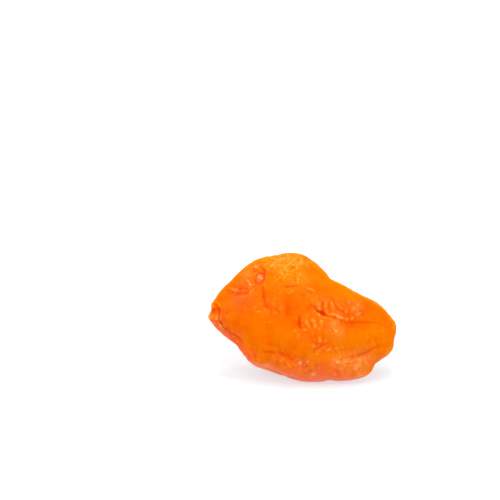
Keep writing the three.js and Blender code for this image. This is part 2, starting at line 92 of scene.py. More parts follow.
# Creases: half width, the run as (x, v, depth) and, where it has them, the lip left of it, the lip right
# of it, the depth of the broad valley round it and the height of the puckers that cross it. A run of
# negative depth is a ridge. Left is as seen along the run.
FACE_CREASES = (
    # the furrow from the middle of the face to its right end, and the thin lip of skin over it
    (0.5, ((3.1, 1.8, 0.1), (3.8, 1.45, 0.8), (4.7, 1.05, 0.8), (5.4, 0.75, 0.1))),
    (0.23, ((0.9, 4.5, 0.05), (1.4, 3.1, 0.25), (2.4, 2.3, 0.4), (3.5, 1.6, 0.6), (4.7, 0.9, 0.6),
        (5.8, 0.45, 0.38), (7.5, -0.25, 0.32), (8.9, -0.75, 0.36), (10.2, -1.05, 0.38), (12, -1.15, 0.32),
        (14.4, -1.25, 0.27), (16.4, -1.5, 0.24), (18.2, -2, 0.16),
        (19.7, -2.6, 0.05)), 0.08, 0.04, 0.8, 0.03),
    (0.34, ((6, 0.9, -0.05), (6.8, 0.6, -0.34), (7.6, 0.25, -0.46), (8.7, -0.15, -0.42),
        (9.6, -0.45, -0.2), (10.6, -0.55, -0.05))),
    (0.9, ((8.4, -0.6, 0.05), (10.4, -1.2, 0.22), (12.4, -1.4, 0.24), (14.6, -1.5, 0.2),
        (16.6, -1.8, 0.1))),
    # the small pit left of it
    (0.45, ((-0.6, 1.2, 0.05), (-0.7, 0.2, 0.35), (-0.8, -1.2, 0.65), (-0.5, -2.1, 0.45),
        (0.7, -2.4, 0.05)), 0.04, 0.04, 0.3),
    # folds and ridges that fan out above the furrow
    (0.22, ((1.1, 4.7, 0.04), (1.6, 3.6, 0.26), (2.3, 2.8, 0.28), (3.1, 1.9, 0.26))),
    (0.24, ((2.9, 4.6, 0.04), (3.9, 3.6, 0.25), (4.4, 2.6, 0.31), (4.6, 1.5, 0.33))),
    (0.22, ((5.5, 3.1, 0.09), (5.8, 2.1, 0.26), (5.8, 1.2, 0.22))),
    (0.24, ((5.2, 4.3, 0.09), (6.6, 3.8, 0.28), (7.3, 2.5, 0.35), (7.9, 1.7, 0.32), (9.1, 1.1, 0.22),
        (10.6, 0.7, 0.13))),
    (0.24, ((8.6, 3.4, 0.04), (9.7, 3, 0.22), (10.6, 2.2, 0.22), (11.2, 1.3, 0.09))),
    (0.28, ((0.8, 3.8, -0.04), (1.1, 3.1, -0.32), (1.6, 2.5, -0.04))),
    (0.38, ((1.9, 4.5, -0.04), (2.9, 3.5, -0.28), (3.4, 2.7, -0.32), (3.8, 1.9, -0.13))),
    (0.32, ((3.6, 4.8, -0.04), (4.6, 3.7, -0.26), (5.1, 2.7, -0.32), (5.3, 1.3, -0.18))),
    (0.36, ((5.4, 3.8, -0.04), (6.3, 3.3, -0.23), (6.7, 2.2, -0.26), (6.7, 0.9, -0.09))),
    (0.34, ((7.5, 3.9, -0.04), (8, 2.7, -0.21), (8.7, 2, -0.21), (10, 1.5, -0.04))),
    # ridges that hang below the furrow, and the folds between them
    (0.45, ((4.1, 0.1, -0.04), (3.2, 0.8, -0.17), (2.2, 1.1, -0.19), (1.3, 0.7, -0.18),
        (1.1, -0.4, -0.07))),
    (0.34, ((1.9, 0.4, -0.07), (2.3, -0.7, -0.26), (2.7, -1.8, -0.26), (2.5, -3.1, -0.07))),
    (0.34, ((0.3, 0.2, -0.07), (0.8, -0.9, -0.21), (1, -2.1, -0.07))),
    (0.32, ((3.8, 0.1, -0.07), (4.2, -0.9, -0.23), (4.1, -1.9, -0.17), (3.7, -2.9, -0.18),
        (3.6, -3.6, -0.04))),
    (0.6, ((6.7, -0.7, -0.04), (6.9, -1.8, -0.14), (7, -3.4, -0.07))),
    (0.36, ((7.6, -2.3, -0.04), (8.2, -2.9, -0.17), (8.7, -3.4, -0.04))),
    (0.24, ((1.5, 0.2, 0.07), (1.6, -0.8, 0.24), (1.9, -1.7, 0.21), (1.9, -2.7, 0.04))),
    (0.28, ((3.2, 0.3, 0.11), (3.3, -0.8, 0.3), (3.5, -1.8, 0.26), (3.3, -2.8, 0.04))),
    (0.22, ((4.8, -0.3, 0.07), (4.9, -1.3, 0.19), (4.7, -2.4, 0.16), (4.9, -3.3, 0.04))),
    (0.26, ((5.6, -1, 0.04), (5.7, -2.1, 0.14), (5.9, -3.2, 0.04))),
    (0.3, ((-1.3, -3.5, 0.07), (0.2, -3.2, 0.19), (1.6, -3.1, 0.07)), 0.08, 0.06),
    # the dimple low on the face and the folds that meet in it
    (0.4, ((1.7, -4.3, 0.09), (2.8, -5.4, 0.3), (3.5, -6.1, 0.26)), 0.06, 0.06),
    (0.4, ((5.7, -5.3, 0.09), (4.6, -5.9, 0.3), (3.9, -6.2, 0.26)), 0.06, 0.06),
    (0.36, ((1.9, -7.5, 0.09), (2.9, -6.9, 0.26), (3.7, -6.4, 0.26)), 0.06, 0.06),
    (0.36, ((4.8, -8, 0.09), (4.2, -7.2, 0.21), (3.9, -6.7, 0.09)), 0.06, 0.06),
    (0.3, ((6.3, -5.7, 0.09), (7, -6.7, 0.26), (7.9, -7.8, 0.09)), 0.08, 0.06),
    (0.3, ((8, -6.1, 0.04), (8.5, -7, 0.17), (9.5, -7.5, 0.04)), 0.08, 0.06),
    (0.3, ((10, -7.5, 0.04), (11.2, -7, 0.17), (12.7, -6.9, 0.04)), 0.06, 0.04),
    # the two furrows along the lower edge of the face, and the clefts of the lobes under them
    (0.36, ((-11.7, -7.5, 0.1), (-10.5, -8, 0.2), (-8.3, -8.1, 0.22), (-6.5, -8.2, 0.3),
        (-4.7, -8.4, 0.4), (-3.2, -8.9, 0.5), (-2.1, -9.7, 0.45), (-0.8, -10.6, 0.35), (0.4, -11.2, 0.3),
        (1.5, -11.8, 0.25), (2.6, -12.6, 0.2), (3.7, -13.4, 0.05)), 0.12, 0.1, 0.6, 0.08),
    (0.45, ((19.4, -5.6, 0.05), (18.2, -6.3, 0.15), (17.4, -6.4, 0.25), (16.5, -6.6, 0.3),
        (15.3, -7.4, 0.34), (14.2, -8.2, 0.45), (12.8, -8.6, 0.4), (11.7, -8.8, 0.35), (10.8, -9, 0.35),
        (9.4, -9.3, 0.25), (8, -9.4, 0.1)), 0.08, 0.14, 0.6, 0.08),
    (0.4, ((-1.1, -9.9, 0.1), (-0.2, -10.4, 0.7), (0.6, -10.9, 0.7), (1.3, -11.2, 0.1)), 0.08, 0.08),
    (0.35, ((6.4, -11.2, 0.1), (7.1, -11.8, 0.28), (7.9, -12.6, 0.24), (8.3, -13.2, 0.1)), 0.08, 0.08),
    (0.3, ((-11.2, -8, 0.1), (-10.8, -8.6, 0.5), (-10.3, -9.1, 0.1)), 0.08, 0.08),
    (0.35, ((11.1, -9.3, 0.2), (11.5, -10.7, 0.2), (11.2, -12.2, 0.05)), 0.08, 0.08),
    (0.4, ((6.9, -9.1, 0.1), (7.8, -10.2, 0.25), (7.5, -11.5, 0.1)), 0.08, 0.08),
    (0.35, ((14, -8.9, 0.15), (13.4, -10, 0.15), (13.6, -11.1, 0.05)), 0.08, 0.08),
    (0.35, ((-2.3, -9.4, 0.25), (-2.4, -10.4, 0.2), (-1.9, -11.5, 0.05)), 0.08, 0.08),
    (0.4, ((-5.2, -9.5, 0.05), (-3.9, -10.2, 0.2), (-3, -11.2, 0.05)), 0.08, 0.08),
    (0.32, ((-5.6, -9, -0.05), (-3.8, -9.8, -0.3), (-2.9, -10.8, -0.3), (-2, -11.6, -0.05))),
    (0.32, ((8.6, -9.7, -0.05), (10, -10, -0.3), (11.8, -9.7, -0.35), (13.4, -9.3, -0.3),
        (14.7, -8.7, -0.05))),
    (0.32, ((-10.2, -7.6, 0.05), (-8.9, -7.9, 0.3), (-7.4, -8.1, 0.38), (-5.9, -8.3, 0.3),
        (-4.8, -8.4, 0.05)), 0.06, 0.03),
    # curved folds at the upper left, and the fold over the pimple
    (0.5, ((-16.8, 6.4, 0.05), (-16.4, 5.7, 0.25), (-15.5, 5.2, 0.34), (-14.2, 5.1, 0.42),
        (-12.8, 5.3, 0.45), (-11.8, 5.9, 0.3), (-11, 6.3, 0.05)), 0.05, 0.04),
    (0.28, ((-16.6, 6.7, -0.05), (-15.9, 6, -0.3), (-14.8, 5.6, -0.3), (-13.6, 5.7, -0.05))),
    (0.32, ((-15.7, 6.8, 0.05), (-14.9, 6.4, 0.28), (-13.6, 6.2, 0.36), (-12.6, 6.2, 0.34),
        (-11.8, 6.2, 0.05))),
    (0.28, ((-13, 8.3, -0.05), (-12.5, 7.9, -0.3), (-11.7, 7.3, -0.35), (-11.2, 6.9, -0.05))),
    (0.14, ((-10, 9.1, 0.05), (-9.7, 9.2, 0.25), (-9.3, 9, 0.25), (-9.1, 8.7, 0.05))),
    (0.28, ((-15.6, 7.6, -0.05), (-14.8, 7.3, -0.25), (-13.8, 7.4, -0.05))),
    (0.3, ((-13.2, 8.9, -0.05), (-12.2, 7.9, -0.3), (-11.6, 6.9, -0.05))),
    (0.4, ((-8.5, 9.3, 0.4), (-8.6, 10.2, 0.5), (-9.1, 11, 0.4), (-9.6, 11.6, 0.1)), 0.06, 0.06),
    (0.34, ((-11.3, 11.6, 0.1), (-10.9, 10.6, 0.35), (-10.2, 10.1, 0.3), (-9.6, 9.9, 0.1)), 0.04, 0.04),
    (0.3, ((-8.9, 7.5, 0.1), (-9, 6.2, 0.45), (-8.9, 4.8, 0.5), (-8.7, 3.5, 0.4), (-8, 2.2, 0.2),
        (-7.2, 1.4, 0.05)), 0.06, 0.03),
    (0.8, ((-8.6, 4.2, 0.1), (-8.2, 2.9, 0.35), (-7.6, 2, 0.25), (-6.6, 1.5, 0.05))),
    # the gap between the two lips of skin at the left end, running down the lower edge
    (0.24, ((-19.9, 3.2, 0.05), (-19.3, 2.5, 0.5), (-18.7, 1.6, 0.75), (-18.5, 0.6, 0.6),
        (-18.6, -0.6, 0.5), (-18.1, -1.8, 0.55), (-17, -3, 0.55), (-15.8, -4, 0.5), (-14.5, -4.9, 0.5),
        (-13.7, -5.8, 0.4), (-13.2, -6.8, 0.1)), 0.06, 0.1, 0.3),
    (0.36, ((-21.2, 1.3, 0.3), (-20.6, 1.3, 0.25), (-19.9, 1, 0.1)), 0.04, 0.04),
    (0.3, ((-12.9, -7.6, 0.1), (-12.2, -8.5, 0.45), (-11.7, -9.4, 0.35), (-11, -10.3, 0.1)), 0.12, 0.14),
    # short wrinkles and faint ridges of the open face
    (0.3, ((-7.1, 1.8, 0.05), (-6.1, 1.6, 0.25), (-5.3, 1.1, 0.28), (-5.6, 0.4, 0.05))),
    (0.5, ((-3.6, 3.3, 0.05), (-3.5, 2.4, 0.35), (-3.6, 1, 0.3), (-3.9, 0, 0.05))),
    (0.28, ((-0.9, 5.4, 0.05), (-0.4, 5, 0.3), (0.3, 4.8, 0.05))),
    (0.28, ((-0.6, -3.7, 0.05), (0, -3.9, 0.3), (0.5, -4.2, 0.05))),
    (0.3, ((-8.4, -6, 0.05), (-7.2, -6, 0.26), (-6, -6.2, 0.05))),
    (0.3, ((-2.9, -6.9, 0.05), (-2, -6.9, 0.22), (-1.2, -7, 0.05))),
    (0.32, ((-1.9, 3.5, -0.05), (-1.95, 2.4, -0.26), (-1.9, 0.9, -0.05))),
    (0.3, ((-5.3, 4.5, -0.05), (-5.2, 5.4, -0.3), (-4.9, 6, -0.05))),
    (0.3, ((-4.1, 4.8, -0.05), (-3.2, 5.2, -0.34), (-2.3, 5.8, -0.3), (-1.7, 6.4, -0.05))),
    (0.3, ((-6.3, 3.7, -0.05), (-6.3, 2.8, -0.3), (-6.3, 2, -0.05))),
    (0.28, ((-11.7, 5.7, -0.05), (-11, 5.7, -0.4), (-10.4, 5.4, -0.05))),
    (0.28, ((-11.1, 1.9, -0.05), (-10.6, 2, -0.3), (-10, 1.8, -0.05))),
    (0.28, ((-10.3, 0.8, -0.05), (-9.6, 0.95, -0.36), (-8.7, 1, -0.05))),
    (0.3, ((0.8, 6.2, 0.05), (1.6, 5.6, 0.18), (2.4, 5, 0.05)), 0.14, 0.08),
    (0.3, ((1.2, 6.5, -0.05), (1.9, 6.1, -0.35), (2.6, 5.6, -0.3), (3, 5.2, -0.05))),
    (0.45, ((-4.8, 6.5, 0.05), (-3.6, 6.8, 0.4), (-2.3, 6.9, 0.4), (-1, 7.2, 0.05)), 0.1, 0.06),
    (0.3, ((9.8, 3.6, 0.05), (11, 2.8, 0.25), (12, 2.1, 0.3), (12.6, 1.4, 0.3), (13.2, 0.5, 0.25),
        (13.3, -0.2, 0.05)), 0.14, 0.05),
)
BACK_CREASES = (
    # the seam down the whole back
    (0.7, ((-18.5, 2, 0.2), (-14, 3.6, 0.6), (-8, 5.6, 0.8), (-2, 5.2, 0.9), (4, 3.2, 1), (9, 1.8, 0.9),
        (14, -1.4, 0.6), (18.5, -4.5, 0.2)), 0.25, 0.25, 1.1, 0.16),
    # long folds of the back that gather towards its ends
    (0.55, ((-14, 8.4, 0.1), (-9, 9.2, 0.35), (-4, 10.6, 0.4), (1, 9.6, 0.1)), 0.2, 0.2, 0.2, 0.06),
    (0.6, ((-17.5, -0.4, 0.1), (-12, -0.6, 0.45), (-6, 1, 0.6), (-1, 1.4, 0.4),
        (4, 0.2, 0.1)), 0.2, 0.25, 0.5, 0.08),
    (0.6, ((-6, -2.6, 0.1), (-1, -1.9, 0.4), (5, -2.6, 0.6), (11, -4.6, 0.5),
        (16.5, -6, 0.1)), 0.22, 0.2, 0.4, 0.08),
    (0.5, ((-12, -5.6, 0.1), (-6, -6.4, 0.4), (0, -6, 0.45), (5, -7.4, 0.1)), 0.2, 0.2, 0.2, 0.06),
    (0.5, ((5, 6.8, 0.1), (9, 4.6, 0.35), (14, 2.4, 0.1)), 0.2, 0.2, 0.2, 0.06),
)

# Swellings and small blisters of the face: x, v, radius, height.
BUMPS = (
    (-10.2, 11.1, 0.6, 0.3), (-20, 2.5, 0.9, 0.45), (10.1, 3.2, 0.4, 0.16), (11.8, 2.1, 0.4, 0.16),
    (12.4, 1.5, 0.4, 0.16), (12.9, 0.8, 0.4, 0.16), (12.3, 0.1, 0.4, 0.16), (11.2, -0.4, 0.35, 0.14),
    (9.2, 1.2, 0.9, 0.12), (6.9, -1.5, 0.9, 0.15), (7.3, -3.3, 0.8, 0.15), (0.4, -2.7, 0.5, 0.12),
    (-1.9, -3.1, 0.5, 0.12), (2.7, -5.2, 0.4, 0.15), (3.9, -4.9, 0.4, 0.13), (5, -5.1, 0.4, 0.13),
    (1.6, -6, 0.4, 0.13), (2.5, -6.3, 0.4, 0.15), (5.4, -7.5, 0.4, 0.16), (3, -7.9, 0.4, 0.16),
    (7.4, -6.9, 0.4, 0.16), (8.9, -6.8, 0.4, 0.12), (11.9, -6.5, 0.5, 0.12), (-0.8, -10.4, 0.4, 0.2),
    (0.4, -10.9, 0.35, 0.2), (2.4, -11.9, 0.4, 0.15), (9.5, -10, 0.6, 0.2), (7.6, -9.9, 0.45, 0.16),
    (10.4, -9.9, 0.35, 0.14), (13.9, -9.2, 0.4, 0.16), (12, -11.4, 0.3, 0.14), (-19.3, -0.5, 0.3, 0.18),
    (-18.4, -1.8, 0.3, 0.15), (-10, -10.2, 0.4, 0.2), (-6.5, -9.3, 0.8, 0.2), (15.1, -3.1, 4, 0.5),
    (15.6, 1, 3.5, 0.3), (-3.9, 10.3, 4, 0.5), (-10.3, 4.9, 0.26, 0.1), (-9.9, 4.2, 0.26, 0.12),
    (-10.1, 3.4, 0.26, 0.12), (-9.7, 2.8, 0.24, 0.1), (-9.75, 8.75, 0.2, 0.13), (-9.15, 8.4, 0.18, 0.1),
    (-5.8, 4.2, 0.26, 0.14), (-7.3, -1.25, 0.26, 0.13), (-13.9, 3.2, 3, 0.25), (-7.2, -4.2, 5, 0.3),
    (12.2, -10.9, 2, 0.4), (-3.9, -11.1, 2, 0.3), (-0.25, 9.5, 0.3, 0.16), (-1.2, 7.5, 0.3, 0.16),
    (-4.7, 9.6, 0.4, 0.14), (-5.2, 8.5, 0.35, 0.12),
)

# Places where the skin is of one kind: x, v, radius and, where it isn't full, the share.
SPOTS = {
    # yellower; the three spots low on the left are painted light that lifts the shade of the underside
    "gold": (
        (-4, 9.5, 4.5), (9, -4.6, 3), (13, -5.5, 3.5), (16.5, -3, 3), (11, 4.5, 3), (2, -8.4, 2.4),
        (7, -8.4, 2.4), (-7.5, -9.8, 1.8, 0.35), (-10, -8.4, 1.6, 0.35), (-4, -10.8, 1.4, 0.35),
        (2.4, 3.8, 1.8, 0.8), (3.4, 2.2, 1.4, 0.6), (-4.4, -4.4, 2.2, 0.7), (-5, -2.4, 1.8, 0.5),
        (4.6, -7, 1.6, 0.6),
    ),
    # darker in colour; along the top rim of the crown this is painted shade
    "deep": (
        (-14.5, 6.8, 4.6), (-13, 3, 3.4, 0.7), (-8.5, 4.6, 3.6, 0.8), (-3, 2.6, 3, 0.7), (-20, 0.8, 2),
        (-18.6, -1.4, 1.8), (-17, -3.6, 1.8, 0.9), (-15.2, -5.8, 1.8, 0.9), (10, 3, 2.6), (13.5, 2.6, 3.8),
        (17.6, 0.6, 3), (4, 5.4, 2.4, 0.5), (-8.8, 10.5, 2.6, 0.7), (-17.8, 3.8, 1.8, 0.8),
        (13, 3.8, 2, 0.5), (-14, -1, 2.2, 0.5), (-3, 13.7, 1.8, 0.8), (-6.2, 13, 1.5, 0.7),
        (0.6, 13.2, 1.6, 0.8), (-11.5, 10.9, 1.2, 0.5), (-7.4, 10, 2.2), (1.4, 10.8, 1.7),
        (-9.4, 11.6, 1.4, 0.8), (-6.2, 2.2, 1.7, 0.8), (7.2, 3.8, 1.5, 0.6), (-17.4, 0.4, 2),
        (-10.9, 6.6, 1, 0.6), (-5.4, 1, 1.5, 0.6), (-9.4, 1.7, 1.1, 0.7), (0.8, 1.8, 0.9, 0.6),
        (-0.2, -9, 1.2, 0.5),
    ),
    # pinker: painted reflection of the bright floor on the lip, the bottom edge and the facet at the left,
    # and the pimple's pink
    "pink": (
        (-14, 3.8, 2.4, 0.6), (3.5, -12.6, 2.2, 0.8), (0, -12, 1.8, 0.6), (7, -13, 2), (-3.5, -12.4, 1.8),
        (-20.2, -0.6, 1.3), (-19, -2, 1.4), (-17.8, -3.2, 1.5), (-16.4, -4.5, 1.5), (-15, -5.9, 1.6),
        (-13.6, -7.3, 1.6), (-12.2, -8.6, 1.4), (-18, 0.6, 0.8, 0.7), (-16.2, -2.4, 0.8, 0.5),
        (-14.2, -4.2, 1, 0.5), (-9.6, 8.75, 0.9), (13.2, -7.5, 0.7, 0.3),
    ),
    # the colour of a peach: on the low lobes and the bottom edge this is painted reflection of the bright
    # floor, and along the top of the crown painted highlight
    "peach": (
        (-5.6, 12.2, 1.3, 0.4), (-3.4, 13, 1.2, 0.4), (-0.8, 12, 1.1, 0.3), (-12.4, 9.4, 1.2, 0.5),
        (-11.2, 11, 0.8, 0.4), (-20.2, 2.9, 0.6, 0.9), (12.8, -12.8, 1.8), (9.6, -13, 1.5),
        (9.4, -10.8, 2.2), (12.2, -10.6, 2.4), (14.4, -9.6, 1.6), (7.2, -11.4, 1.8), (6.9, -1.8, 1.1),
        (8, -3.1, 1.2), (12.2, 2.6, 1.4, 0.5), (-3, -12, 1.2, 0.8), (-0.6, -12.5, 1.2, 0.8),
        (1.7, -13.1, 1.1, 0.8), (4.2, -13, 1.1, 0.5), (6.3, -13.2, 1.1, 0.7), (8.6, -12.6, 1.3, 0.8),
    ),
    # redder: painted shade, in the colour of the folds, in the pits and along the creases
    "red": (
        (-20, 0.2, 1.2), (-18.9, -1.4, 1.3, 0.9), (-17.4, -3.2, 1.3, 0.9), (-15.8, -4.8, 1.3, 0.9),
        (-14.2, -6.4, 1.3, 0.8), (3.8, -6.2, 1.2, 0.45), (5.3, -6.5, 0.7, 0.5), (-0.7, -1.2, 0.9),
        (1.6, 2.4, 0.6, 0.8), (-18.9, 1.4, 0.9), (0.2, -10.6, 0.7), (4.5, 0.8, 0.9), (-8.9, 10, 0.8),
        (-19.2, 0.6, 0.7), (9.8, -1.4, 0.6), (11, -1.6, 0.6), (-15, 4.9, 0.5), (8.6, 2, 0.6),
        (9.8, 0.4, 0.6),
    ),
    # crowded with small grains, whose pale dots are painted glints
    "grain_and_glint": (
        (-6.8, 12, 1.4), (-5, 12.9, 1.9), (-3.2, 13.2, 2.2), (-1.3, 12.6, 1.9), (0.2, 11.8, 1.1, 0.7),
        (-4, 11.4, 1.5), (-1.5, 10.8, 1.3), (-6.4, 11, 1.2), (-10.4, 11.4, 0.9), (-12.6, 9.8, 1.1),
        (-12.9, 8.4, 1), (-11.9, 7, 0.9), (-4.6, 9.4, 0.6, 0.7), (-12.4, 10.6, 1.1, 0.6), (-11, 5.6, 0.8),
        (-15.4, 6, 0.8), (8.6, -10, 1.4), (11, -9.8, 1.6), (13, -10.4, 1.4), (-0.6, -10.6, 1.5),
        (2.6, -11.9, 1.4), (-5.5, -9.6, 1.2), (-18.7, -1.2, 0.9), (-17.8, -2.6, 0.7), (11.7, 2.2, 1),
        (12.6, 0.8, 0.9), (7.2, -2.8, 1.2), (-4.4, 9.3, 1.2, 0.5), (-3, 10, 1.4, 0.5), (-1.3, 8, 0.8, 0.5),
        (-0.6, 9.4, 0.8, 0.5), (-5.4, 8, 0.8, 0.35),
    ),
    # finely wrinkled, so that it shines
    "wrinkled": (
        (3.5, 2.5, 3), (7.5, 1.5, 3.5), (11.5, 1.8, 2), (2.5, -1.5, 2.5), (6.8, -2.8, 1.8),
        (3.7, -6.4, 2.2), (7.5, -7, 1.6), (-0.5, -10.4, 2.6), (2.8, -12, 2), (9, -9.8, 2.6), (13.5, -9, 2),
        (-12.3, 7, 3), (-9.5, 9.5, 2.5), (-18.5, -1, 2.2), (-14.5, -5.5, 1.6), (-10.5, -9, 2),
        (-5.5, -9.2, 2), (-6.5, 3.5, 2), (0.5, 5.5, 1.6), (-3, 7.5, 2.5), (-1, -4, 1.6), (-7.5, 1, 1.2),
        (-5.4, 3, 1.3), (-10.5, 2, 1.2),
    ),
    # painted glints: small pale spots of colour where light glints
    "painted_glint": (
        (-20.1, 3.2, 0.4), (-19.3, -0.3, 0.35), (-18.2, -2.3, 0.35), (-17.7, -2.9, 0.25),
        (-9.75, 8.8, 0.3, 1.5), (-9.1, 8.4, 0.25, 1.4), (-3.9, 12.9, 0.35), (-6.5, 11.3, 0.3),
        (7.5, 0.3, 0.3, 0.6), (8, 0.1, 0.35, 0.6), (8.6, -0.1, 0.35, 0.6), (-0.7, -10.3, 0.4),
        (0.1, -10.7, 0.35), (2.3, -12.7, 0.4), (7.7, -9.8, 0.35), (11.8, -10.9, 0.35), (11.6, -11.8, 0.35),
        (5.8, -7.2, 0.3), (6.9, -9.4, 0.3), (-8, -10.7, 0.4), (1.1, -10.1, 0.25), (-2.6, -8.7, 0.25),
        (10.1, 3.2, 0.3, 0.4), (11.8, 2.1, 0.3, 0.4), (12.4, 1.5, 0.3, 0.4), (12.9, 0.8, 0.3, 0.4),
        (12.3, 0.1, 0.3, 0.4), (11.2, -0.4, 0.3, 0.4), (2.2, 5.9, 0.3, 0.4), (-0.3, 9.5, 0.3, 0.5),
        (-1.2, 7.6, 0.25, 0.5), (-4.6, 9.5, 0.35, 0.4), (-10.4, 11.2, 0.35, 0.5), (-11.7, 7.3, 0.3, 0.5),
        (-5.6, 12.7, 0.4, 0.5), (-2.7, 11.6, 0.35, 0.5), (-1.9, 12.4, 0.35, 0.4), (-1.4, 11.1, 0.3, 0.5),
        (-5.1, 11.3, 0.3, 0.4), (0, 12.2, 0.3, 0.4),
    ),
}

# The pimple: its middle, its height and radius, and how much distance along x, v and w counts.
PIMPLE = (-9.6, 8.75)
PIMPLE_RISE = 0.38
PIMPLE_RADIUS = 0.72
PIMPLE_STRETCH = (1.12, 0.9, 0.4)
# The ring sunk round it: radius, half width, depth, fold share of painted shade, its even part, the part that
# grows upwards and, by the next number, to the right, and the least distance that this is reckoned with.
RING = 1.08
RING_WIDTH = 0.3
RING_DEPTH = 0.14
RING_FOLD = 0.85
RING_EVEN = 0.82
RING_LEAN = 0.18
RING_ASIDE = 0.5
RING_NEAREST = 0.1

# ---- unevenness ----

# Each kind: its size, alike all ways or along x, v and w, and its seed. Sizes are in millimetres, and the
# puckers' in their own pitch and length.
WANDER = (1.9, 1)
QUIVER = (0.8, 4)
WIDTHS = (1.6, 7)
FINE_WIDTHS = (0.7, 8)
PUCKER_SHIFT = (2.5, 11)
PUCKERS = (1, 12)
FINE_PUCKERS = (1, 13)
SWELL = ((7.5, 6, 6), 21)
BEND = (4.5, 31)
LONG_WAVES = ((8.5, 2.1, 2.1), 34)
SHORT_WAVES = ((4.5, 1, 1), 35)
LONG_DRAPES = ((1.6, 3.8, 2.4), 36)
SHORT_DRAPES = ((0.8, 1.7, 1.2), 37)
LUMPS = ((3.2, 2.4, 2.6), 39)
CRUMPLE = ((1.1, 0.8, 1.5), 41)
PEBBLES = ((0.5, 0.46, 1.7), 43)
FINE_PEBBLES = ((0.32, 0.3, 1), 44)
ROUGHNESS = ((0.7, 0.7, 1.4), 46)

# Zones that break up into patches: the least share, what is added, between which values, and the kind.
GRAIN_PATCHES = (0.25, 0.75, (-0.5, 0.45), ((0.8, 0.75, 2.2), 47))
PEACH_PATCHES = (0.5, 0.5, (-0.4, 0.4), ((0.9, 0.7, 1.6), 49))
PAINTED_GLINT_PATCHES = (0.28, 0.52, (-0.3, 0.4), ((0.25, 0.45, 1), 48))

# How far creases and blisters stray, and how much a crease's width changes, and between which shares.
WANDER_REACH = 0.26
QUIVER_REACH = 0.1
WIDTH_CHANGE = 0.35
FINE_WIDTH_CHANGE = 0.2
WIDTH_LIMITS = (0.5, 1.6)

# A crease: the farthest that is looked at, its width and depth against the tables, the power of its
# bell's fall, the height of its lips, their distance and width against its own, and how far its valley
# reaches.
CREASE_REACH = 7.0
CREASE_WIDTH = 1.15
CREASE_DEPTH = 0.55
CREASE_FALL = 1.5
LIP_HEIGHT = 0.8
LIP_PLACE = 2.2
LIP_WIDTH = 1.5
VALLEY_REACH = 2.4
# Its fold share, where the material paints shade: the most, the depth where it begins, and the depth more
# that completes it.
CREASE_FOLD = 0.9
FOLD_START = 0.05
FOLD_SPAN = 0.75

# Puckers: their pitch along the crease and length across it, how far they are shifted, where their noise
# is cut, and how much closer and weaker the fine ones are.
PUCKER_PITCH = 1.25
PUCKER_LENGTH = 4.5
PUCKER_SHIFTED = 0.5
PUCKER_CUT = 3.7
FINE_PUCKER_SCALE = (2.1, 1.6, 1)
FINE_PUCKER_SHARE = 0.5
# How far they reach, the distance and the depth share by which they are full, their height and middle
# level, and the fold share of painted shade between them with the level where it begins.
PUCKER_REACH = 2.4
PUCKER_CLEAR = 0.8
PUCKER_FULL = 0.5
PUCKER_HEIGHT = 1.3
PUCKER_MIDDLE = 0.45
PUCKER_FOLD = 0.5
PUCKER_BOTTOM = 0.16

# The w of the surface normal below which the skin counts as back or as an end, how much lower it does so
# in full, the normal's x that makes an end, and how gnarled the ends and the low skin are.
BACK_NORMAL = 0.15
END_NORMAL = 0.55
BACK_SPAN = 0.5
END_ZONE = (0.55, 0.9)
END_GNARLED = 0.7
LOW_GNARLED = 0.45
# Where the skin begins to count as off the rim, low or crown and where it does so in full, and how far
# the crown's edge strays.
OFF_RIM = (0.15, 0.6)
LOW_ZONE = (6.5, 10)
CROWN_FOOT = (4.5, 10)
CROWN_RIGHT = (-4.5, 2.5)
CROWN_LEFT = (-11, -6)
CROWN_LEFT_LEAST = 0.15
CROWN_LEFT_REST = 0.85
CROWN_STRAY = 1.2

# The long wrinkles of the back are bent, and gather towards the two ends: their spacing is true at this
# distance from the middle line, and stops closing up at the second.
BEND_REACH = 1.1
GATHER_GIRTH = 9.0
GATHER_SOFT = 4.0
# Share of the short ones, middle level, weakening between two distances from the tips, and fold share of
# painted shade with the levels where it begins and is full.
SHORT_WAVE = 0.5
WAVE_MIDDLE = 0.4
TIP_LEAST = 0.45
TIP_REST = 0.55
TIP_ZONE = (1, 6)
WAVE_FOLD = 0.35
WAVE_BOTTOM = (-0.15, 0)

# The soft wrinkles down the face: softness of the long and the short ones, share of the short ones,
# middle level, height on plain skin, what wrinkled skin adds and what the crown takes away.
DRAPE_SOFT = 0.16
SHORT_DRAPE_SOFT = 0.12
SHORT_DRAPE = 0.6
DRAPE_MIDDLE = 0.25
DRAPE_PLAIN = 0.42
DRAPE_WRINKLED = 0.6
DRAPE_CROWN = 0.5
# The fine wrinkles: middle level, height on plain skin, and what wrinkled skin and the crown add.
CRUMPLE_MIDDLE = 0.35
CRUMPLE_PLAIN = 0.2
CRUMPLE_WRINKLED = 0.4
CRUMPLE_CROWN = 0.35

# The grains: share of the fine ones, what the low skin and the back take away, what the crown and
# wrinkled skin add, from which level to which they rise, and the height of the roughness between them.
FINE_PEBBLE = 0.7
GRAIN_LOW = 0.65
GRAIN_BACK = 0.8
GRAIN_CROWN = 0.16
GRAIN_WRINKLED = 0.1
PEBBLE_LEVELS = (-0.1, 0.8)
ROUGHNESS_SHARE = 0.3

# The painted reflection of the bright floor on the lower rim, which is turned down towards it: how far left
# and low its second direction points, how much it wanders, from where to where it turns, what the back takes
# away, and its share on the pimple.
REFLECTION_LEFT = 0.5
REFLECTION_DOWN = 0.65
REFLECTION_STRAY = 0.12
REFLECTION_ZONE = (0.58, 1.08)
REFLECTION_BACK = 0.7
REFLECTION_PIMPLE = 0.5
# The shine: what the crown takes away, and its share where grains crowd.
SHINE_CROWN = 0.75
SHINE_GRAINS = 0.8

